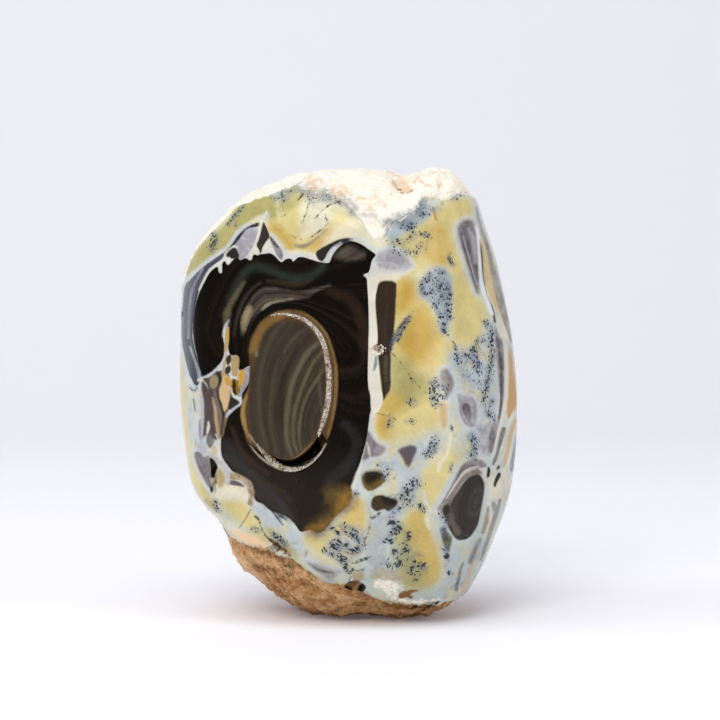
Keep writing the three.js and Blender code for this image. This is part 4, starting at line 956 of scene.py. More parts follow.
def marking_edge(p):
    """The edge length, in millimetres, that the markings ask for at places on the front."""
    places = on_chart(p)
    length = np.full(len(p), NO_MARK)
    for _, softness, strength, half_widths, near, deep in measured_marks(places, 4.0):
        if half_widths:
            asked = np.clip(LINE_SHARE * np.mean(half_widths), FINEST_LINE, COARSEST_LINE) + 0.3 * softness
            away = np.maximum(-deep - 0.5, 0)
        else:
            asked = SHARPEST_RIM + PER_SOFTNESS * softness
            away = np.maximum(np.abs(deep) - 0.5 * softness, 0)
        asked = asked + (1 - strength) * WHEN_FAINT
        length[near] = np.minimum(length[near], asked + FADE * away)
    return length / STEPS_PER_MM


def wanted_edge(p):
    length = np.where(p[:, 1] < FRONT_ENDS, FRONT_EDGE, BACK_EDGE)
    rough = np.maximum(past_skin(p), past_matrix(p)) > -0.3
    rough_length = np.where(p[:, 1] < FRONT_ENDS, ROUGH_EDGE, ROUGH_BACK_EDGE)
    length = np.where(rough & (p[:, 2] > 0.2), rough_length, length)
    for place, axes, half in pits:
        far_out = np.linalg.norm((p - place) @ axes.T / half, axis=1)
        length = np.where(far_out < PIT_ZONE, np.minimum(length, PIT_EDGE), length)
    front = np.flatnonzero(p[:, 1] < FRONT_ENDS)
    polished = front[~rough[front]]
    length[polished] = np.minimum(length[polished], marking_edge(p[polished]))
    deep, inwards, angle = inside_hollow(p)
    step = np.minimum(np.abs(deep), np.abs(inwards - ledge_width(angle) - 0.2) + 10 * (deep < 0))
    return np.minimum(length, RIM_EDGE + 0.5 * np.maximum(step - 0.25, 0))


# %% Cut every edge that is too long
MANY = 10_000_000  # more points than the mesh will ever have
CUT_ROUNDS = 9


def grow_stone(rounds):
    ball = bmesh.new()
    bmesh.ops.create_icosphere(ball, subdivisions=BALL_ROUNDS, radius=1)
    directions = unit(np.array([v.co for v in ball.verts]) * BALL_STRETCH)
    faces = np.array([[v.index for v in f.verts] for f in ball.faces])
    ball.free()
    smooth = place_points(directions)
    points = press_in(smooth)
    short_enough = np.zeros(0, np.int64)
    for _ in range(rounds):
        pairs = np.sort(np.stack([faces, np.roll(faces, -1, 1)], 2).reshape(-1, 2), 1)
        keys, edge_of = np.unique(pairs[:, 0] * MANY + pairs[:, 1], return_inverse=True)
        edges = np.stack([keys // MANY, keys % MANY], 1)
        edge_of = edge_of.reshape(-1, 3)
        pressed, flat = (np.linalg.norm(q[edges[:, 0]] - q[edges[:, 1]], axis=1) for q in (points, smooth))
        lengths = np.maximum(flat, WALL_SHARE * pressed)
        middles = (smooth[edges[:, 0]] + smooth[edges[:, 1]]) / 2
        cut = (lengths > RIM_EDGE) & ~np.isin(keys, short_enough)
        cut[cut] = lengths[cut] > wanted_edge(middles[cut])
        short_enough = keys[~cut]
        longest = edge_of[np.arange(len(faces)), lengths[edge_of].argmax(1)]
        while True:
            pulled_in = cut[edge_of].any(1) & ~cut[longest]
            if not pulled_in.any():
                break
            cut[longest[pulled_in]] = True
        if not cut.any():
            break
        new_smooth = place_points(unit(middles[cut] - MIDDLE))
        number = np.full(len(edges), -1)
        number[cut] = len(points) + np.arange(cut.sum())
        smooth = np.vstack([smooth, new_smooth])
        points = np.vstack([points, press_in(new_smooth)])
        turn = lengths[edge_of].argmax(1)[:, None]
        order = (np.arange(3) + turn) % 3
        a, b, c = np.take_along_axis(faces, order, 1).T
        ab, bc, ca = number[np.take_along_axis(edge_of, order, 1)].T
        whole = ab < 0
        only = (ab >= 0) & (bc < 0) & (ca < 0)
        first = (ab >= 0) & (bc >= 0) & (ca < 0)
        second = (ab >= 0) & (bc < 0) & (ca >= 0)
        both = (ab >= 0) & (bc >= 0) & (ca >= 0)
        patterns = [
            (whole, [(a, b, c)]),
            (only, [(a, ab, c), (ab, b, c)]),
            (first, [(a, ab, c), (ab, b, bc), (ab, bc, c)]),
            (second, [(a, ab, ca), (ab, b, c), (ab, c, ca)]),
            (both, [(a, ab, ca), (ab, b, bc), (ca, bc, c), (ab, bc, ca)]),
        ]
        faces = np.vstack([
            np.stack([corner[chosen] for corner in triangle], 1)
            for chosen, triangles in patterns for triangle in triangles
        ])
    return points, faces


stone_points, stone_faces = grow_stone(CUT_ROUNDS)
print("the stone has", len(stone_points), "points and", len(stone_faces), "triangles")

# %% [markdown]
# Once its shape is final, every point of the stone gets one number for each pigment. The front
# chart is only true where the stone faces the lens, so its numbers fade out where the surface turns
# away. The sides and the back have growth bands of their own: a stone like this has several dark
# cores, and bands lie round each like rings round a drop. One number says how far a point is from
# the nearest core, and the material cuts the rings out of it.

# %% Pigments of the front, from the lowest to the highest
PIGMENTS = {
    "yellow": (208, 193, 132), "ochre": (192, 160, 80), "olive": (168, 160, 104),
    "blue_milk": (160, 172, 176), "milk": (182, 187, 178), "cream": (216, 209, 188),
    "halo": (192, 198, 202), "ground": (80, 70, 68), "lilac": (163, 160, 165),
    "slate": (90, 93, 104), "slate_dark": (66, 68, 82), "peach_dim": (200, 174, 130),
    "mauve": (118, 112, 116), "mauve_dark": (95, 86, 92), "tan": (190, 152, 104),
    "umber": (64, 54, 46), "bark": (52, 41, 32), "dark": (17, 12, 9), "taupe_dark": (56, 47, 43),
    "taupe": (78, 68, 61),
    "taupe_pale": (116, 102, 94), "smoke": (44, 40, 40), "smoke_cool": (42, 42, 44),
    "rust_dark": (50, 36, 27), "olive_dark": (50, 43, 30), "teal": (40, 46, 41),
    "teal_dark": (38, 47, 47), "olive_dim": (92, 85, 62), "sand": (146, 132, 98), "tan_dim": (170, 146, 104),
    "amber_dark": (60, 50, 24), "amber": (118, 90, 30), "dark_top": (15, 11, 8),
    "peach": (200, 172, 130), "olive_top": (118, 103, 74), "tan_top": (176, 150, 114),
    "smoke_top": (52, 48, 44), "ochre_top": (190, 148, 66), "lilac_top": (176, 172, 180),
    "milk_top": (184, 191, 196), "gold": (80, 60, 38), "gold_bright": (124, 96, 54),
    "gold_pale": (150, 124, 76), "eye": (62, 51, 40), "eye_dark": (42, 34, 30), "eye_faint": (76, 68, 54),
    "eye_pale": (94, 85, 66), "seam_shadow": (140, 122, 100), "sand_pale": (138, 130, 112),
    "vein": (214, 210, 196),
    "vein_blue": (212, 220, 226), "amber_bright": (186, 142, 44), "haze": (80, 100, 120),
    "ash": (108, 110, 106), "haze_top": (134, 142, 150), "stain": (222, 190, 152), "chalk": (236, 228, 212),
    # the cavity pigment is painted shade: near black, for the inside of holes, cracks and hollows
    "mud": (166, 150, 122), "rust": (122, 84, 48), "ink": (48, 40, 36), "cavity_shade": (12, 8, 6),
}
FACING_FADE = (-0.05, 0.0)  # how much a face may turn from the lens before its markings fade
CRUST_FADE = (0.02, 0.12)  # the same for a crust, by its place round the middle, as its faces lie anyhow
ABOVE_CRUST = ("haze_top", "stain", "mud", "chalk", "rust", "ink", "cavity_shade")  # drawn on the crusts too
FAR_OUTSIDE = -9.0
HALOED = ("mauve", "slate", "umber", "lilac", "tan", "dark")  # a milky rim lies round these
HALO_WIDTH, HALO_SOFTNESS, HALO_STRENGTH = 1.8, 2.2, 0.75  # chart steps
HALO_UP_TO = 3.1  # softer marks have no rim
NO_FRONT = -3.0


def point_normals(points, faces):
    a, b, c = (points[faces[:, k]] for k in range(3))
    cross = np.cross(b - a, c - a)
    normals = np.zeros_like(points)
    for k in range(3):
        for axis in range(3):
            normals[:, axis] += np.bincount(faces[:, k], cross[:, axis], len(points))
    return unit(normals)


places = on_chart(stone_points)
stone_normals = point_normals(stone_points, stone_faces)
LENS = TARGET + LENS_DISTANCE * TOWARDS_LENS
faces_lens = smoothstep(*FACING_FADE, (stone_normals * unit(LENS - stone_points)).sum(1))
crust_faces_lens = smoothstep(*CRUST_FADE, unit(stone_points - MIDDLE) @ TOWARDS_LENS)
seen = np.flatnonzero(faces_lens + crust_faces_lens > 0)
pigment_fields = {name: np.full(len(stone_points), FAR_OUTSIDE) for name in PIGMENTS}


def lay_field(name, points_at, value):
    field = pigment_fields[name]
    field[points_at] = np.maximum(field[points_at], value)


for pigment, softness, strength, half_widths, near, deep in measured_marks(places[seen], 6.0):
    lay_field(pigment, seen[near], np.minimum(deep / softness, cap(strength)))
    if pigment in HALOED and not half_widths and softness < HALO_UP_TO:
        ring = HALO_WIDTH - np.abs(deep + HALO_WIDTH)
        lay_field("halo", seen[near], np.minimum(ring / HALO_SOFTNESS, cap(HALO_STRENGTH)))
for name, field in pigment_fields.items():
    fade = crust_faces_lens if name in ABOVE_CRUST else faces_lens
    field[:] = NO_FRONT + (np.clip(field, FAR_OUTSIDE, FAR_INSIDE) - NO_FRONT) * fade
print(len(seen), "points carry the front chart;",
      int((pigment_fields["dark"] > 0).sum()), "of them lie in the dark window")

# %% How thick the ferns grow
SPRIG_ROOTS = {"fern": (370, 567), "low": (388, 592), "left_tuft": (203, 256)}  # the rest are loose specks
FERN_SPREAD = 1.4  # ferns thin out over this much more than they were first drawn with
SPRIG_SPREAD = 36  # chart steps from a root, where its twigs are as wide as they are told to be
twigs = {"twig_run": np.zeros(len(stone_points)), "twig_turn": np.zeros(len(stone_points))}
fern_density = {"specks": np.zeros(len(stone_points)), "sprigs": np.zeros(len(stone_points))}
for spot, (strength, reach, route) in ((spot, fern) for spot, ferns in DENDRITES.items() for fern in ferns):
    root = SPRIG_ROOTS.get(spot)
    kind = "sprigs" if root else "specks"
    curve = smooth_curve(route, False, 4)
    reach = reach * FERN_SPREAD
    near = seen[(np.abs(places[seen] - curve.mean(0)) < reach + np.ptp(curve, axis=0) / 2 + 4).all(1)]
    away = -inside_line(places[near], curve, (0, 0))
    thick = strength * np.clip(1 - away / reach, 0, 1)
    if root:
        nearer = thick >= fern_density[kind][near]
        across, down = (places[near[nearer]] - root).T
        twigs["twig_run"][near[nearer]] = np.hypot(across, down)
        twigs["twig_turn"][near[nearer]] = SPRIG_SPREAD * np.arctan2(across, -down)
    fern_density[kind][near] = np.maximum(fern_density[kind][near], thick)
for kind, density in fern_density.items():
    density *= faces_lens
    print(kind, "grow on", int((density > 0.05).sum()), "points")

# %% [markdown]
# The finest bands are too thin to store point by point. They all run along something, though: the
# bands over the eye run between the teal line and the eye's rim, and those in the eye between its
# left side and a line down its right side. So the mesh stores only where a point lies between two
# such guides, a number that changes slowly, and the material cuts crisp bands out of it.

# %% Guides for the finest bands
ARCH_OUTER = [(224, 352), (216, 330), (226, 300), (240, 276), (258, 263), (282, 268), (306, 270),
              (330, 258), (352, 246)]
ARCH_INNER = [(250, 352), (256, 330), (268, 314), (286, 309), (306, 313), (330, 330), (345, 350)]
SLATE_OUTER = [(186, 372), (181, 335), (183, 300), (190, 279), (207, 264), (227, 249), (243, 230)]
SLATE_INNER = [(201, 372), (193, 335), (197, 300), (206, 276), (222, 259), (234, 246), (247, 231)]
EYE_LEFT = [(263, 450), (255, 412), (257.5, 380), (263, 357), (272, 338), (285, 322)]
EYE_RIGHT = [(310, 450), (305, 424), (309, 406), (316, 392), (327, 378), (336, 368)]
DARK_EYE_MIDDLE, DARK_EYE_LEAN, DARK_EYE_HEIGHT = (476, 502), 0.25, 0.5


def between(places, outer, inner):
    """0 on the outer guide and 1 on the inner one."""
    away = [-inside_line(places, smooth_curve(guide, False, 4), (0, 0)) for guide in (outer, inner)]
    return away[0] / (away[0] + away[1] + 1e-6)


guides = {name: np.zeros(len(stone_points)) for name in ("arch", "slate_run", "eye_run", "dark_eye_run")}
guides["arch"][seen] = between(places[seen], ARCH_OUTER, ARCH_INNER)
guides["slate_run"][seen] = between(places[seen], SLATE_OUTER, SLATE_INNER)
guides["eye_run"][seen] = between(places[seen], EYE_LEFT, EYE_RIGHT)
across, down = (places[seen] - DARK_EYE_MIDDLE).T
guides["dark_eye_run"][seen] = np.hypot(across + DARK_EYE_LEAN * down, down * DARK_EYE_HEIGHT)
print(len(guides), "guides lead the fine bands")

# %% Dark cores with growth bands on the sides and the back
CORES = [  # azimuth in degrees, height and half sizes across, up and in, in millimetres
    (172, 33, (10.5, 15.5, 6)), (-122, 41, (4.2, 10.5, 5)), (132, 47, (4.6, 6.8, 4)),
    (118, 21, (6.5, 4.6, 4)), (-148, 24, (3.4, 5.4, 3)), (-98, 27, (2.2, 5.5, 3)),
    (150, 56, (3.0, 2.2, 3)), (-163, 54, (4.5, 2.6, 3)), (97, 38, (2.4, 8.5, 3)),
]
NO_CORE = 30.0
core_distance = np.full(len(stone_points), NO_CORE)
for azimuth, height, half in CORES:
    place = surface_at(azimuth, height)
    out = unit(np.array([place[0], place[1], 0]))
    half = np.array(half)
    local = (stone_points - place) @ axes_on(out).T / half
    ring = (np.linalg.norm(local, axis=1) - 1) * half[:2].min()
    core_distance = np.minimum(core_distance, ring)
core_distance += 1.3 * noise(stone_points / 6.5, 51) + 0.5 * noise(stone_points / 2.4, 52)
core_distance += NO_CORE * faces_lens
print(int((core_distance < 0).sum()), "points lie in the dark cores behind")

# %% The stone as one mesh in Blender
def make_piece(name, points, faces, fields):
    """One object at the origin, with its place in its mesh and a number per point for each field."""
    mesh = bpy.data.meshes.new(name)
    mesh.from_pydata((points + TO_PACKED_FRAME) * MM, [], faces.tolist())
    mesh.validate()
    mesh.polygons.foreach_set("use_smooth", np.ones(len(mesh.polygons), bool))
    for field_name, values in fields.items():
        layer = mesh.attributes.new(field_name, "FLOAT", "POINT")
        layer.data.foreach_set("value", np.asarray(values, np.float32))
    piece = bpy.data.objects.new(name, mesh)
    bpy.context.scene.collection.objects.link(piece)
    return piece


stone_fields = {**pigment_fields, **fern_density, **twigs, **guides, "core": core_distance,
                "skin": past_skin(stone_points), "matrix": past_matrix(stone_points),
                "hollow": inside_hollow(stone_points)[0]}
stone = make_piece("opal_stone", stone_points, stone_faces, stone_fields)
print("the stone carries", len(stone_fields), "fields")

# %% [markdown]
# The opal's material is a stack of see-through films, as the real colour is. Each pigment turns its
# field into a share between nothing and all, and lays its colour over what is below. A little noise
# is added to every field first, so that no edge keeps the smooth look of a drawn curve. All noise
# reads Object coordinates, which run on through the stone like its own clouds do.

# %% A short way to write down a material
def tint(red, green, blue):
    """A colour from screen values, 0 to 255, as Blender mixes it."""
    return tuple((v / 255 / 12.92 if v < 10 else ((v / 255 + 0.055) / 1.055) ** 2.4)
                 for v in (red, green, blue)) + (1.0,)


def fill_sockets(tree, node, sockets):
    """Each socket takes a plain value or another node's output."""
    for name, value in sockets.items():
        if isinstance(value, bpy.types.NodeSocket):
            tree.links.new(value, node.inputs[name])
        else:
            node.inputs[name].default_value = value


def add_node(tree, kind, sockets=None, **settings):
    node = tree.nodes.new(kind)
    for name, value in settings.items():
        setattr(node, name, value)
    fill_sockets(tree, node, sockets or {})
    return node


class Recipe:
    """Adds nodes to one material, step by step."""

    def __init__(self, name):
        self.material = bpy.data.materials.new(name)
        self.material.use_nodes = True
        self.tree = self.material.node_tree
        self.surface = self.tree.nodes["Principled BSDF"]
        self.place = self.tree.nodes.new("ShaderNodeTexCoord").outputs["Object"]

    def node(self, kind, sockets=None, **settings):
        return add_node(self.tree, kind, sockets, **settings)

    def field(self, name):
        return self.node("ShaderNodeAttribute", attribute_name=name).outputs["Fac"]

    def noise(self, per_mm, detail=3.0, roughness=0.55, distortion=0.0):
        sockets = {"Vector": self.place, "Scale": per_mm / MM, "Detail": detail,
                   "Roughness": roughness, "Distortion": distortion}
        return self.node("ShaderNodeTexNoise", sockets).outputs["Fac"]

    def math(self, operation, first, second=0.0, third=0.0):
        sockets = {0: first, 1: second, 2: third}
        return self.node("ShaderNodeMath", sockets, operation=operation).outputs[0]

    def plus(self, first, second):
        return self.math("ADD", first, second)

    def minus(self, first, second):
        return self.math("SUBTRACT", first, second)

    def times(self, first, second):
        return self.math("MULTIPLY", first, second)

    def share(self, value, low, high, result_low=0.0, result_high=1.0):
        sockets = {"Value": value, "From Min": low, "From Max": high,
                   "To Min": result_low, "To Max": result_high}
        return self.node("ShaderNodeMapRange", sockets, interpolation_type="SMOOTHSTEP").outputs["Result"]

    def lay(self, under, over, share):
        """Lay one colour over another."""
        return self.node("ShaderNodeMix", {0: share, 6: under, 7: over}, data_type="RGBA").outputs[2]

    def film(self, under, shade, value, low, high, strength=1.0):
        """Lay a colour over another where a value runs from low to high."""
        return self.lay(under, tint(*shade), self.share(value, low, high, 0, strength))

    def set(self, **sockets):
        fill_sockets(self.tree, self.surface, {name.replace("_", " "): sockets[name] for name in sockets})


# %% Clouds in the opal, and the bands round the cores behind
opal = Recipe("polished_opal")
WOBBLE, CRUMBLE = 0.42, 0.45  # of an edge's softness
clouds = opal.noise(0.075, 2.0, 0.5, 0.6)
small_clouds = opal.noise(0.32, 3.0, 0.6, 0.4)
fine = opal.noise(2.2, 3.0, 0.65)
colour = opal.film(tint(206, 203, 172), (188, 200, 196), clouds, 0.46, 0.62)
colour = opal.film(colour, (216, 202, 140), clouds, 0.46, 0.3)
colour = opal.film(colour, (226, 219, 196), small_clouds, 0.58, 0.74, 0.6)
colour = opal.film(colour, (170, 172, 178), small_clouds, 0.4, 0.26, 0.45)

rings = opal.plus(opal.field("core"), opal.share(small_clouds, 0.2, 0.8, -0.35, 0.35))
RINGS = [  # middle of the band, half width and softness in millimetres, strength, colour
    (3.6, 0.9, 0.6, 0.55, (214, 174, 96)), (2.5, 0.5, 0.35, 0.8, (219, 205, 150)),
    (1.85, 0.2, 0.14, 0.85, (122, 112, 116)), (1.35, 0.22, 0.1, 0.95, (226, 222, 208)),
    (0.75, 0.42, 0.16, 0.95, (122, 126, 142)), (0.25, 0.14, 0.08, 0.9, (200, 196, 192)),
]
for middle, half, soft, strength, shade in RINGS:
    away = opal.math("ABSOLUTE", opal.minus(rings, middle))
    colour = opal.lay(colour, tint(*shade), opal.share(away, half + soft, half - soft, 0, strength))
core_colour = opal.film(tint(17, 12, 9), (58, 48, 42), small_clouds, 0.45, 0.7)
bands = opal.math("SINE", opal.times(rings, 4.6))
core_colour = opal.film(core_colour, (92, 80, 66), bands, 0.55, 1.0, 0.55)
colour = opal.lay(colour, core_colour, opal.share(rings, 0.1, -0.1))
print(len(RINGS), "rings lie round each core")

# %% The front's pigments, one over another
wobble = opal.times(opal.minus(opal.noise(0.55, 2.0, 0.5), 0.5), 2 * WOBBLE)
crumble = opal.times(opal.minus(opal.noise(2.6, 3.0, 0.6), 0.5), 2 * CRUMBLE)
wobble = opal.plus(wobble, crumble)


def lay_pigment(colour, name, shade, fray):
    edge = opal.plus(opal.field(name), fray)
    return opal.lay(colour, shade, opal.share(edge, -1, 1))


def streaks(guide, per_unit):
    """Bands of uneven width along a guide, from 0 to 1."""
    run = opal.times(opal.field(guide), per_unit)
    run = opal.plus(run, opal.share(fine, 0, 1, 0, 0.35))
    node = opal.node("ShaderNodeTexNoise", {"W": run, "Scale": 1.0, "Detail": 4.0, "Roughness": 0.65},
                     noise_dimensions="1D")
    return node.outputs["Fac"]


smoke = opal.noise(0.55, 4.0, 0.6, 0.8)
arch_bands = streaks("arch", 9.0)
slate_bands = streaks("slate_run", 6.0)
eye_bands = streaks("eye_run", 13.0)
dark_eye_bands = streaks("dark_eye_run", 0.22)
BANDED = {
    "taupe": opal.film(tint(48, 40, 35), (92, 83, 74), arch_bands, 0.36, 0.68),
    "slate": opal.film(tint(46, 48, 56), (92, 96, 107), slate_bands, 0.34, 0.66),
    "eye": opal.film(tint(52, 44, 37), (63, 55, 45), eye_bands, 0.36, 0.64),
    "amber": opal.film(tint(138, 104, 44), (84, 66, 30), small_clouds, 0.35, 0.65),
    "lilac": opal.film(tint(146, 143, 150), (178, 176, 182), smoke, 0.38, 0.66),
    "milk": opal.lay(opal.film(tint(183, 192, 196), (200, 195, 164), small_clouds, 0.46, 0.62),
                     tint(140, 148, 146), opal.share(smoke, 0.52, 0.74, 0, 0.8)),
    "mauve": opal.film(tint(100, 94, 98), (142, 137, 141), small_clouds, 0.35, 0.65),
    "dark": opal.film(tint(11, 8, 6), (36, 27, 20), arch_bands, 0.45, 0.8),
    "umber": opal.film(tint(45, 41, 39), (70, 68, 68), dark_eye_bands, 0.4, 0.75),
}
for name, shade in PIGMENTS.items():
    if name not in ABOVE_CRUST:
        colour = lay_pigment(colour, name, BANDED.get(name, tint(*shade)), wobble)
print(len(PIGMENTS), "pigments are laid over each other")

# %% Cloudiness over everything, and painted shade towards the foot
mottle_and_foot_shade = opal.plus(opal.share(opal.noise(0.28, 5.0, 0.62), 0.25, 0.75, 0.86, 1.08),
                   opal.share(fine, 0.3, 0.7, -0.03, 0.03))
height = opal.node("ShaderNodeSeparateXYZ", {0: opal.place}).outputs["Z"]
# painted shade: below 32 mm the colour darkens, to 0.84 of itself at the floor
mottle_and_foot_shade = opal.times(mottle_and_foot_shade, opal.share(height, 0, 32 * MM, 0.84, 1.0))
colour = opal.node("ShaderNodeVectorMath", {0: colour, "Scale": mottle_and_foot_shade}, operation="SCALE").outputs[0]
print("clouds and a darker foot are laid over the pigments")

# %% [markdown]
# The ferns are minerals that crept into hairline gaps. Seen closely each is a cloud of black specks
# with a blue haze where the specks lie deeper, and some stand in sprigs that fan out from a root.
# Specks are the cells of a Voronoi texture. Sprigs are the same cells drawn out along the way from
# the root, once straight and twice slanted. The density on the mesh decides how many of them show.

# %% Ferns
def spots(where, size, grain, per_step):
    """Round spots, one in each cell, and the lot that each cell draws."""
    node = opal.node("ShaderNodeTexVoronoi", {"Vector": where, "Scale": per_step, "Randomness": grain})
    lot = opal.node("ShaderNodeSeparateColor", {"Color": node.outputs["Color"]}).outputs[0]
    reach = opal.math("MULTIPLY_ADD", lot, 0.12, size)
    return opal.share(opal.minus(reach, node.outputs["Distance"]), -0.08, 0.08), lot


def drawn(spot, lot, density, plenty):
    """Only as many spots as the density asks for."""
    chosen = opal.share(opal.minus(opal.times(density, plenty), lot), -0.06, 0.06)
    return opal.times(spot, chosen)


speck_density, sprig_density = opal.field("specks"), opal.field("sprigs")
density = opal.math("MAXIMUM", speck_density, sprig_density)
haze_clouds = opal.times(opal.share(opal.noise(0.8, 3.0), 0.3, 0.62, 0.25, 1.0),
                        opal.share(opal.noise(3.2, 3.0), 0.3, 0.6, 0.55, 1.0))
haze = opal.times(opal.share(density, 0.0, 0.8, 0, 0.8), haze_clouds)
colour = opal.lay(colour, tint(94, 112, 130), haze)
bend = opal.node("ShaderNodeTexNoise", {"Vector": opal.place, "Scale": 2.4 / MM, "Detail": 2.0})
sockets = {0: bend.outputs["Color"], "Scale": 0.45 * MM}
bent = opal.node("ShaderNodeVectorMath", sockets, operation="SCALE").outputs[0]
bent = opal.node("ShaderNodeVectorMath", {0: opal.place, 1: bent}, operation="ADD").outputs[0]
large, large_lot = spots(bent, opal.math("MULTIPLY_ADD", speck_density, 0.24, 0.18), 1.0, 2.0 / MM)
small, small_lot = spots(bent, opal.math("MULTIPLY_ADD", speck_density, 0.18, 0.18), 1.0, 3.2 / MM)
large = drawn(large, large_lot, speck_density, 1.1)
small = drawn(small, small_lot, speck_density, 0.5)
specks = opal.times(opal.math("MAXIMUM", large, small), opal.share(speck_density, 0.03, 0.12))
shake = opal.times(opal.noise(1.3, 3.0, 0.6), 3.6)
run = opal.plus(opal.field("twig_run"), shake)
turn = opal.plus(opal.field("twig_turn"), shake)
twigs = 0.0
for lean, stretch, grain in ((0.0, 3.0, 3.8), (0.7, 1.8, 3.2), (-0.7, 1.8, 3.2)):
    across = opal.math("MULTIPLY_ADD", run, lean, turn)
    along = opal.math("DIVIDE", run, stretch)
    where = opal.node("ShaderNodeCombineXYZ", {"X": across, "Y": along, "Z": 7 * lean}).outputs[0]
    twig, twig_lot = spots(where, opal.math("MULTIPLY_ADD", sprig_density, 0.16, 0.2), 0.9, 1 / grain)
    twigs = opal.math("MAXIMUM", twigs, drawn(twig, twig_lot, sprig_density, 1.0))
sprigs = opal.times(twigs, opal.share(sprig_density, 0.05, 0.2))
mineral = opal.math("MAXIMUM", specks, sprigs)
colour = opal.lay(colour, tint(22, 26, 34), opal.times(mineral, 0.94))

# %% [markdown]
# The skin is a chalky crust, almost white, with warm stains where it dips. The matrix is the soft
# earthy rock the nodule grew in: tan, with brown hollows. Both are dull, and what is polished is
# wet-looking, so the same masks that change the colour change the roughness.

# %% Skin and matrix
edge_noise = opal.times(opal.minus(opal.noise(1.6, 4.0, 0.65), 0.5), 1.1)
on_skin = opal.share(opal.plus(opal.field("skin"), edge_noise), -0.12, 0.12)
on_matrix = opal.share(opal.plus(opal.field("matrix"), edge_noise), -0.12, 0.12)
stain = opal.noise(0.35, 5.0, 0.68, 0.8)
crumbs = opal.noise(1.9, 4.0, 0.7)
skin_colour = opal.film(tint(238, 234, 224), (226, 204, 172), stain, 0.5, 0.68)
skin_colour = opal.film(skin_colour, (186, 142, 100), stain, 0.64, 0.76, 0.8)
skin_colour = opal.film(skin_colour, (150, 120, 92), crumbs, 0.66, 0.76, 0.5)
matrix_colour = opal.film(tint(206, 166, 120), (164, 114, 66), stain, 0.4, 0.64)
in_patches = opal.share(opal.noise(0.16, 3.0, 0.6), 0.4, 0.6, 0.15, 1.0)
matrix_colour = opal.lay(matrix_colour, tint(72, 46, 26),
                         opal.times(opal.share(crumbs, 0.52, 0.66), in_patches))
matrix_colour = opal.film(matrix_colour, (236, 222, 196), stain, 0.36, 0.24, 0.7)
blotches = opal.share(opal.noise(0.42, 5.0, 0.7, 1.2), 0.5, 0.66, 0, 0.8)
matrix_colour = opal.lay(matrix_colour, tint(112, 76, 42), blotches)
colour = opal.lay(colour, skin_colour, on_skin)
colour = opal.lay(colour, matrix_colour, on_matrix)
skin_specks = opal.times(mineral, opal.share(opal.field("skin"), 1.6, 0.4))
colour = opal.lay(colour, tint(46, 52, 62), opal.times(skin_specks, 0.8))
ragged = opal.share(opal.noise(1.5, 3.0, 0.65), 0.3, 0.7, -1.0, 0.7)
cloudy = opal.share(opal.noise(0.9, 4.0, 0.6), 0.25, 0.75, -0.6, 0.5)
for name in ABOVE_CRUST:
    fray = {"cavity_shade": 0.0, "haze_top": cloudy, "stain": cloudy, "mud": cloudy}.get(name, ragged)
    colour = lay_pigment(colour, name, tint(*PIGMENTS[name]), fray)
print("skin and matrix are laid over the polish")

# %% Gloss and relief
rough_share = opal.math("MAXIMUM", on_skin, on_matrix)
in_hollow = opal.share(opal.field("hollow"), 0.1, 0.3)
rough_share = opal.math("MAXIMUM", rough_share, in_hollow)
shine = opal.share(fine, 0.3, 0.7, 0.07, 0.12)
roughness = opal.node("ShaderNodeMix", {0: rough_share, 2: shine, 3: 0.82}).outputs[0]
relief = opal.times(opal.plus(crumbs, opal.noise(5.5, 3.0, 0.6)), rough_share)
bump = opal.node("ShaderNodeBump", {"Height": relief, "Strength": 0.55, "Distance": 0.12 * MM})
opal.set(Base_Color=colour, Roughness=roughness, Normal=bump.outputs["Normal"], IOR=1.46,
         Specular_IOR_Level=0.22, Specular_Tint=(1.0, 0.86, 0.7, 1.0))
stone.data.materials.append(opal.material)
print("the opal's material has", len(opal.tree.nodes), "nodes")

# %% [markdown]
# Where the stone is open, quartz has grown in it: a crust of tiny points on the crescent's step,
# a seam of them round the eye, and a few in the holes. They repeat, so Geometry Nodes scatter them.
# The tree takes a strip of surface, drops random places on it, and stands a six-sided point on each,
# leaning a little and of its own size.

# %% A tree that grows crystals on a strip
DENSEST = 4e8  # places per square metre, before the spacing thins them out


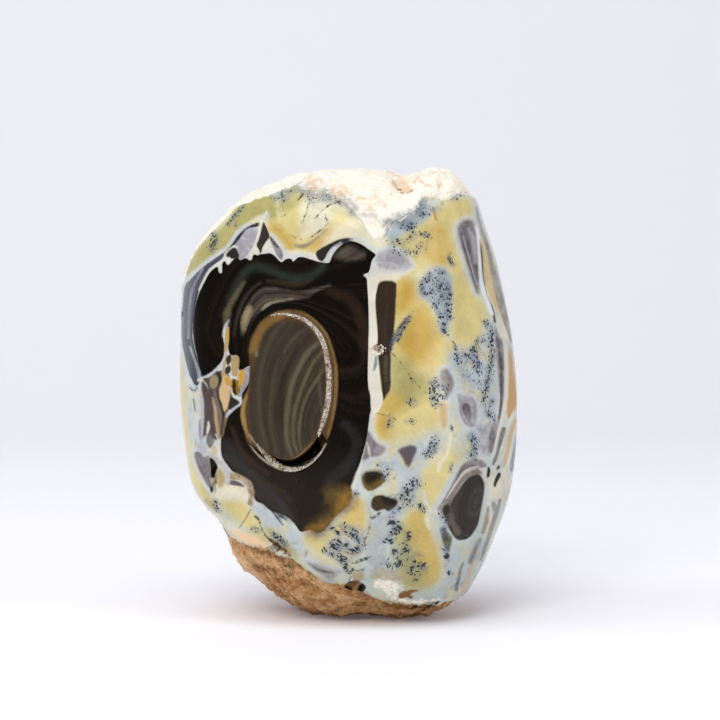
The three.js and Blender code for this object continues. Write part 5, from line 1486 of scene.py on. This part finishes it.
def crystal_tree(material):
    tree = bpy.data.node_groups.new("grow_crystals", "GeometryNodeTree")
    tree.interface.new_socket("Geometry", in_out="INPUT", socket_type="NodeSocketGeometry")
    tree.interface.new_socket("Geometry", in_out="OUTPUT", socket_type="NodeSocketGeometry")
    for name, kind in (("Spacing", "NodeSocketFloat"), ("Radius", "NodeSocketFloat"),
                       ("Length", "NodeSocketFloat"), ("Lean", "NodeSocketFloat"), ("Seed", "NodeSocketInt")):
        tree.interface.new_socket(name, in_out="INPUT", socket_type=kind)
    given = tree.nodes.new("NodeGroupInput").outputs
    scatter = add_node(tree, "GeometryNodeDistributePointsOnFaces",
                       {"Mesh": given["Geometry"], "Distance Min": given["Spacing"], "Density Max": DENSEST,
                        "Seed": given["Seed"]}, distribute_method="POISSON")
    point = add_node(tree, "GeometryNodeMeshCone", {"Vertices": 6, "Radius Bottom": given["Radius"],
                                                    "Radius Top": 0.0, "Depth": given["Length"]})
    lean = add_node(tree, "FunctionNodeRandomValue", data_type="FLOAT_VECTOR")
    for end, side in (("Min", -1), ("Max", 1)):
        sockets = {0: (side, side, 6 * side), "Scale": given["Lean"]}
        turn = add_node(tree, "ShaderNodeVectorMath", sockets, operation="SCALE")
        tree.links.new(turn.outputs[0], lean.inputs[end])
    rotate = add_node(tree, "FunctionNodeRotateEuler", {"Rotation": scatter.outputs["Rotation"],
                                                        "Rotate By": lean.outputs["Value"]}, space="LOCAL")
    size = add_node(tree, "FunctionNodeRandomValue", {2: 0.55, 3: 1.35, "Seed": 7}, data_type="FLOAT")
    place = add_node(tree, "GeometryNodeInstanceOnPoints",
                     {"Points": scatter.outputs["Points"], "Instance": point.outputs["Mesh"],
                      "Rotation": rotate.outputs["Rotation"], "Scale": size.outputs[1]})
    real = add_node(tree, "GeometryNodeRealizeInstances", {"Geometry": place.outputs["Instances"]})
    dress = add_node(tree, "GeometryNodeSetMaterial", {"Geometry": real.outputs["Geometry"],
                                                       "Material": material})
    add_node(tree, "NodeGroupOutput", {"Geometry": dress.outputs["Geometry"]})
    return tree


quartz = Recipe("druse")
sparkle = quartz.noise(1.1, 4.0, 0.65)
quartz_colour = quartz.film(tint(240, 234, 226), (196, 172, 138), sparkle, 0.44, 0.6)
quartz_colour = quartz.film(quartz_colour, (84, 58, 36), sparkle, 0.56, 0.66)
quartz.set(Base_Color=quartz_colour, Roughness=quartz.share(sparkle, 0.3, 0.7, 0.12, 0.3), IOR=1.55)
growth = crystal_tree(quartz.material)
print("the tree has", len(growth.nodes), "nodes")

# %% Grow the crusts
BED_SINK = 0.1  # millimetres; it keeps the crystals' feet in the stone


def grow_crystals(name, strip, spacing, radius, length, lean, seed):
    """Crystals on a strip, which is rows of points in millimetres, wound to face outwards."""
    rows, columns = len(strip), len(strip[0])
    corners = [r * columns + c for r in range(rows - 1) for c in range(columns - 1)]
    faces = [(k, k + 1, k + columns + 1, k + columns) for k in corners]
    bed = bpy.data.meshes.new(name + "_bed")
    bed.from_pydata((np.reshape(strip, (-1, 3)) + TO_PACKED_FRAME) * MM, [], faces)
    seat = bpy.data.objects.new(name + "_bed", bed)
    bpy.context.scene.collection.objects.link(seat)
    modifier = seat.modifiers.new("crystals", "NODES")
    modifier.node_group = growth
    sizes = {"Spacing": spacing * MM, "Radius": radius * MM, "Length": length * MM, "Lean": lean,
             "Seed": seed}
    for item in growth.interface.items_tree:
        if item.in_out == "INPUT" and item.name in sizes:
            modifier[item.identifier] = sizes[item.name]
    shaped = seat.evaluated_get(bpy.context.evaluated_depsgraph_get())
    mesh = bpy.data.meshes.new_from_object(shaped)
    mesh.name = name
    piece = bpy.data.objects.new(name, mesh)
    bpy.context.scene.collection.objects.link(piece)
    bpy.data.objects.remove(seat)
    print(name, "has", len(mesh.polygons), "faces")
    return piece


def face_point(angle, inwards, sink):
    """A place on the window face, from the eye's oval, sunk below the face."""
    turn = math.radians(angle)
    on_rim = np.array([EYE_HALF_WIDTH * math.cos(turn), EYE_HALF_HEIGHT * math.sin(turn)])
    across, up = on_rim * (1 - inwards / np.linalg.norm(on_rim))
    flat = eye_middle + across * eye_axes[0] + up * eye_axes[1]
    return place_points(unit(flat - MIDDLE)[None])[0] - sink * eye_axes[2]


def under_chart(spot):
    """The place on the stone that shows at a spot of the chart, sunk a little."""
    nearest = seen[np.argmin(np.linalg.norm(places[seen] - spot, axis=1))]
    right, up = (np.array(spot) - CHART / 2) * (1, -1) / (STEPS_PER_MM * LENS_DISTANCE)
    ray = right * np.array([1, 0, 0]) + up * CHART_UP - TOWARDS_LENS
    normal = stone_normals[nearest]
    hit = LENS + ray * ((stone_points[nearest] - LENS) @ normal) / (ray @ normal)
    return place_points(unit(hit - MIDDLE)[None])[0] - BED_SINK * TOWARDS_LENS


CRUST_FROM, CRUST_TO, CRUST_COLUMNS = 222, 319, 70  # degrees round the eye's oval
CRUST_ROWS = ((0.1, 0.2), (0.35, 0.5), (0.7, 0.56), (1.05, 0.66))  # share of the ledge, sink in millimetres
crust_rows = [[face_point(angle, min(share * ledge_width(angle), hollow_width(angle) * 0.7), sink)
               for angle in np.linspace(CRUST_FROM, CRUST_TO, CRUST_COLUMNS)] for share, sink in CRUST_ROWS]
_, _, _, seam_widths, seam_route = LINES["seam"]
seam_curve = smooth_curve(seam_route, False, 4)
seam_along = unit(np.gradient(seam_curve, axis=0))
seam_half = np.interp(np.linspace(0, 1, len(seam_curve)), np.linspace(0, 1, len(seam_widths)), seam_widths)
seam_rows = [[under_chart(spot + side * half * np.array([-way[1], way[0]]))
              for spot, way, half in zip(seam_curve, seam_along, seam_half)] for side in (0.8, 0, -0.8)]
VUG_MIDDLE, VUG_HALF = (378.5, 349.5), (8, 6)  # a small open pocket beside the pale stem
vug_rows = [[under_chart(np.array(VUG_MIDDLE) + np.array(VUG_HALF) * (x, y * math.sqrt(1 - x * x)))
             for x in np.linspace(-0.98, 0.98, 6)] for y in (0.9, 0.3, -0.3, -0.9)]
# spacing, radius and length are in millimetres, then come the lean and the seed
crust = grow_crystals("druse_crust_crystals", crust_rows, 0.12, 0.085, 0.22, 0.5, 3)
seam = grow_crystals("seam_crystals", seam_rows, 0.13, 0.085, 0.2, 0.6, 5)
vug = grow_crystals("vug_crystals", vug_rows, 0.3, 0.2, 0.42, 0.5, 11)

# %% [markdown]
# The stage is one pale sheet that curves up behind the stone, with soft light from above and both
# sides. A polished black face mirrors whatever stands before it, so the light boxes stay out of the
# direction that the window looks at, the sheet ends early there and the room is dark on that side.

# %% Floor, lights and world
SHEET_FRONT, SHEET_BEND, SHEET_TOP, SHEET_HALF_WIDTH = -0.45, 0.35, 1.6, 1.6  # metres


def curved_sheet():
    sheet = bpy.data.meshes.new("floor")
    profile = [(SHEET_FRONT, 0.0), (SHEET_BEND, 0.0)]
    profile += [(SHEET_BEND * (1 + math.sin(a)), SHEET_BEND * (1 - math.cos(a)))
                for a in np.linspace(0.1, math.pi / 2, 14)]
    profile += [(2 * SHEET_BEND, SHEET_TOP)]
    rows = [[(x, y, z) for y, z in profile] for x in (-SHEET_HALF_WIDTH, SHEET_HALF_WIDTH)]
    count = len(profile)
    faces = [(k, k + count, k + count + 1, k + 1) for k in range(count - 1)]
    sheet.from_pydata(rows[0] + rows[1], [], faces)
    sheet.polygons.foreach_set("use_smooth", [True] * len(faces))
    return sheet


floor = bpy.data.objects.new("floor", curved_sheet())
bpy.context.scene.collection.objects.link(floor)
paper = Recipe("pale_paper")
paper.set(Base_Color=tint(240, 240, 246), Roughness=0.8, Emission_Color=tint(238, 240, 250),
          Emission_Strength=0.06)
floor.data.materials.append(paper.material)


def light_box(name, direction, distance, size, watts, colour, mirrored=True):
    """A square soft light that looks at the stone from a direction."""
    lamp = bpy.data.lights.new(name, "AREA")
    lamp.shape = "RECTANGLE"
    lamp.size, lamp.size_y = size
    lamp.energy = watts
    lamp.color = colour
    holder = bpy.data.objects.new(name, lamp)
    aim = Vector(direction).normalized()
    holder.location = Vector(MIDDLE * MM) + aim * distance
    holder.rotation_euler = aim.to_track_quat("Z", "Y").to_euler()
    holder.visible_glossy = mirrored
    bpy.context.scene.collection.objects.link(holder)


light_box("overhead", (-0.15, -0.3, 1.0), 0.9, (0.9, 0.7), 4.2, (1, 0.99, 0.97))
light_box("left", (-1.0, -0.15, 0.35), 0.8, (0.35, 0.7), 1.7, (0.97, 0.98, 1.0), mirrored=False)
light_box("right", (1.0, -0.6, 0.3), 0.85, (0.3, 0.7), 2.0, (1.0, 0.98, 0.95))
light_box("front", (-0.3, -1.0, 0.75), 1.0, (0.5, 0.35), 3.8, (1, 0.985, 0.96))
world = bpy.data.worlds.new("studio")
world.use_nodes = True
room = world.node_tree
looking = add_node(room, "ShaderNodeTexCoord").outputs["Generated"]
split = add_node(room, "ShaderNodeSeparateXYZ", {0: looking})
fade = add_node(room, "ShaderNodeMapRange", {"Value": split.outputs["Y"], "From Min": -1.0, "From Max": 0.2,
                                             "To Min": 0.2, "To Max": 0.38})
room.nodes["Background"].inputs["Color"].default_value = (0.95, 0.96, 1.0, 1)
room.links.new(fade.outputs["Result"], room.nodes["Background"].inputs["Strength"])
bpy.context.scene.world = world
bpy.context.scene.view_settings.view_transform = "Standard"
print("the stage is set")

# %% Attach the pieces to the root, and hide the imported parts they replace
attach(stone, "root")
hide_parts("stone")
for grown in (crust, seam, vug):
    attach(grown, "root")
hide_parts("druse_crust")
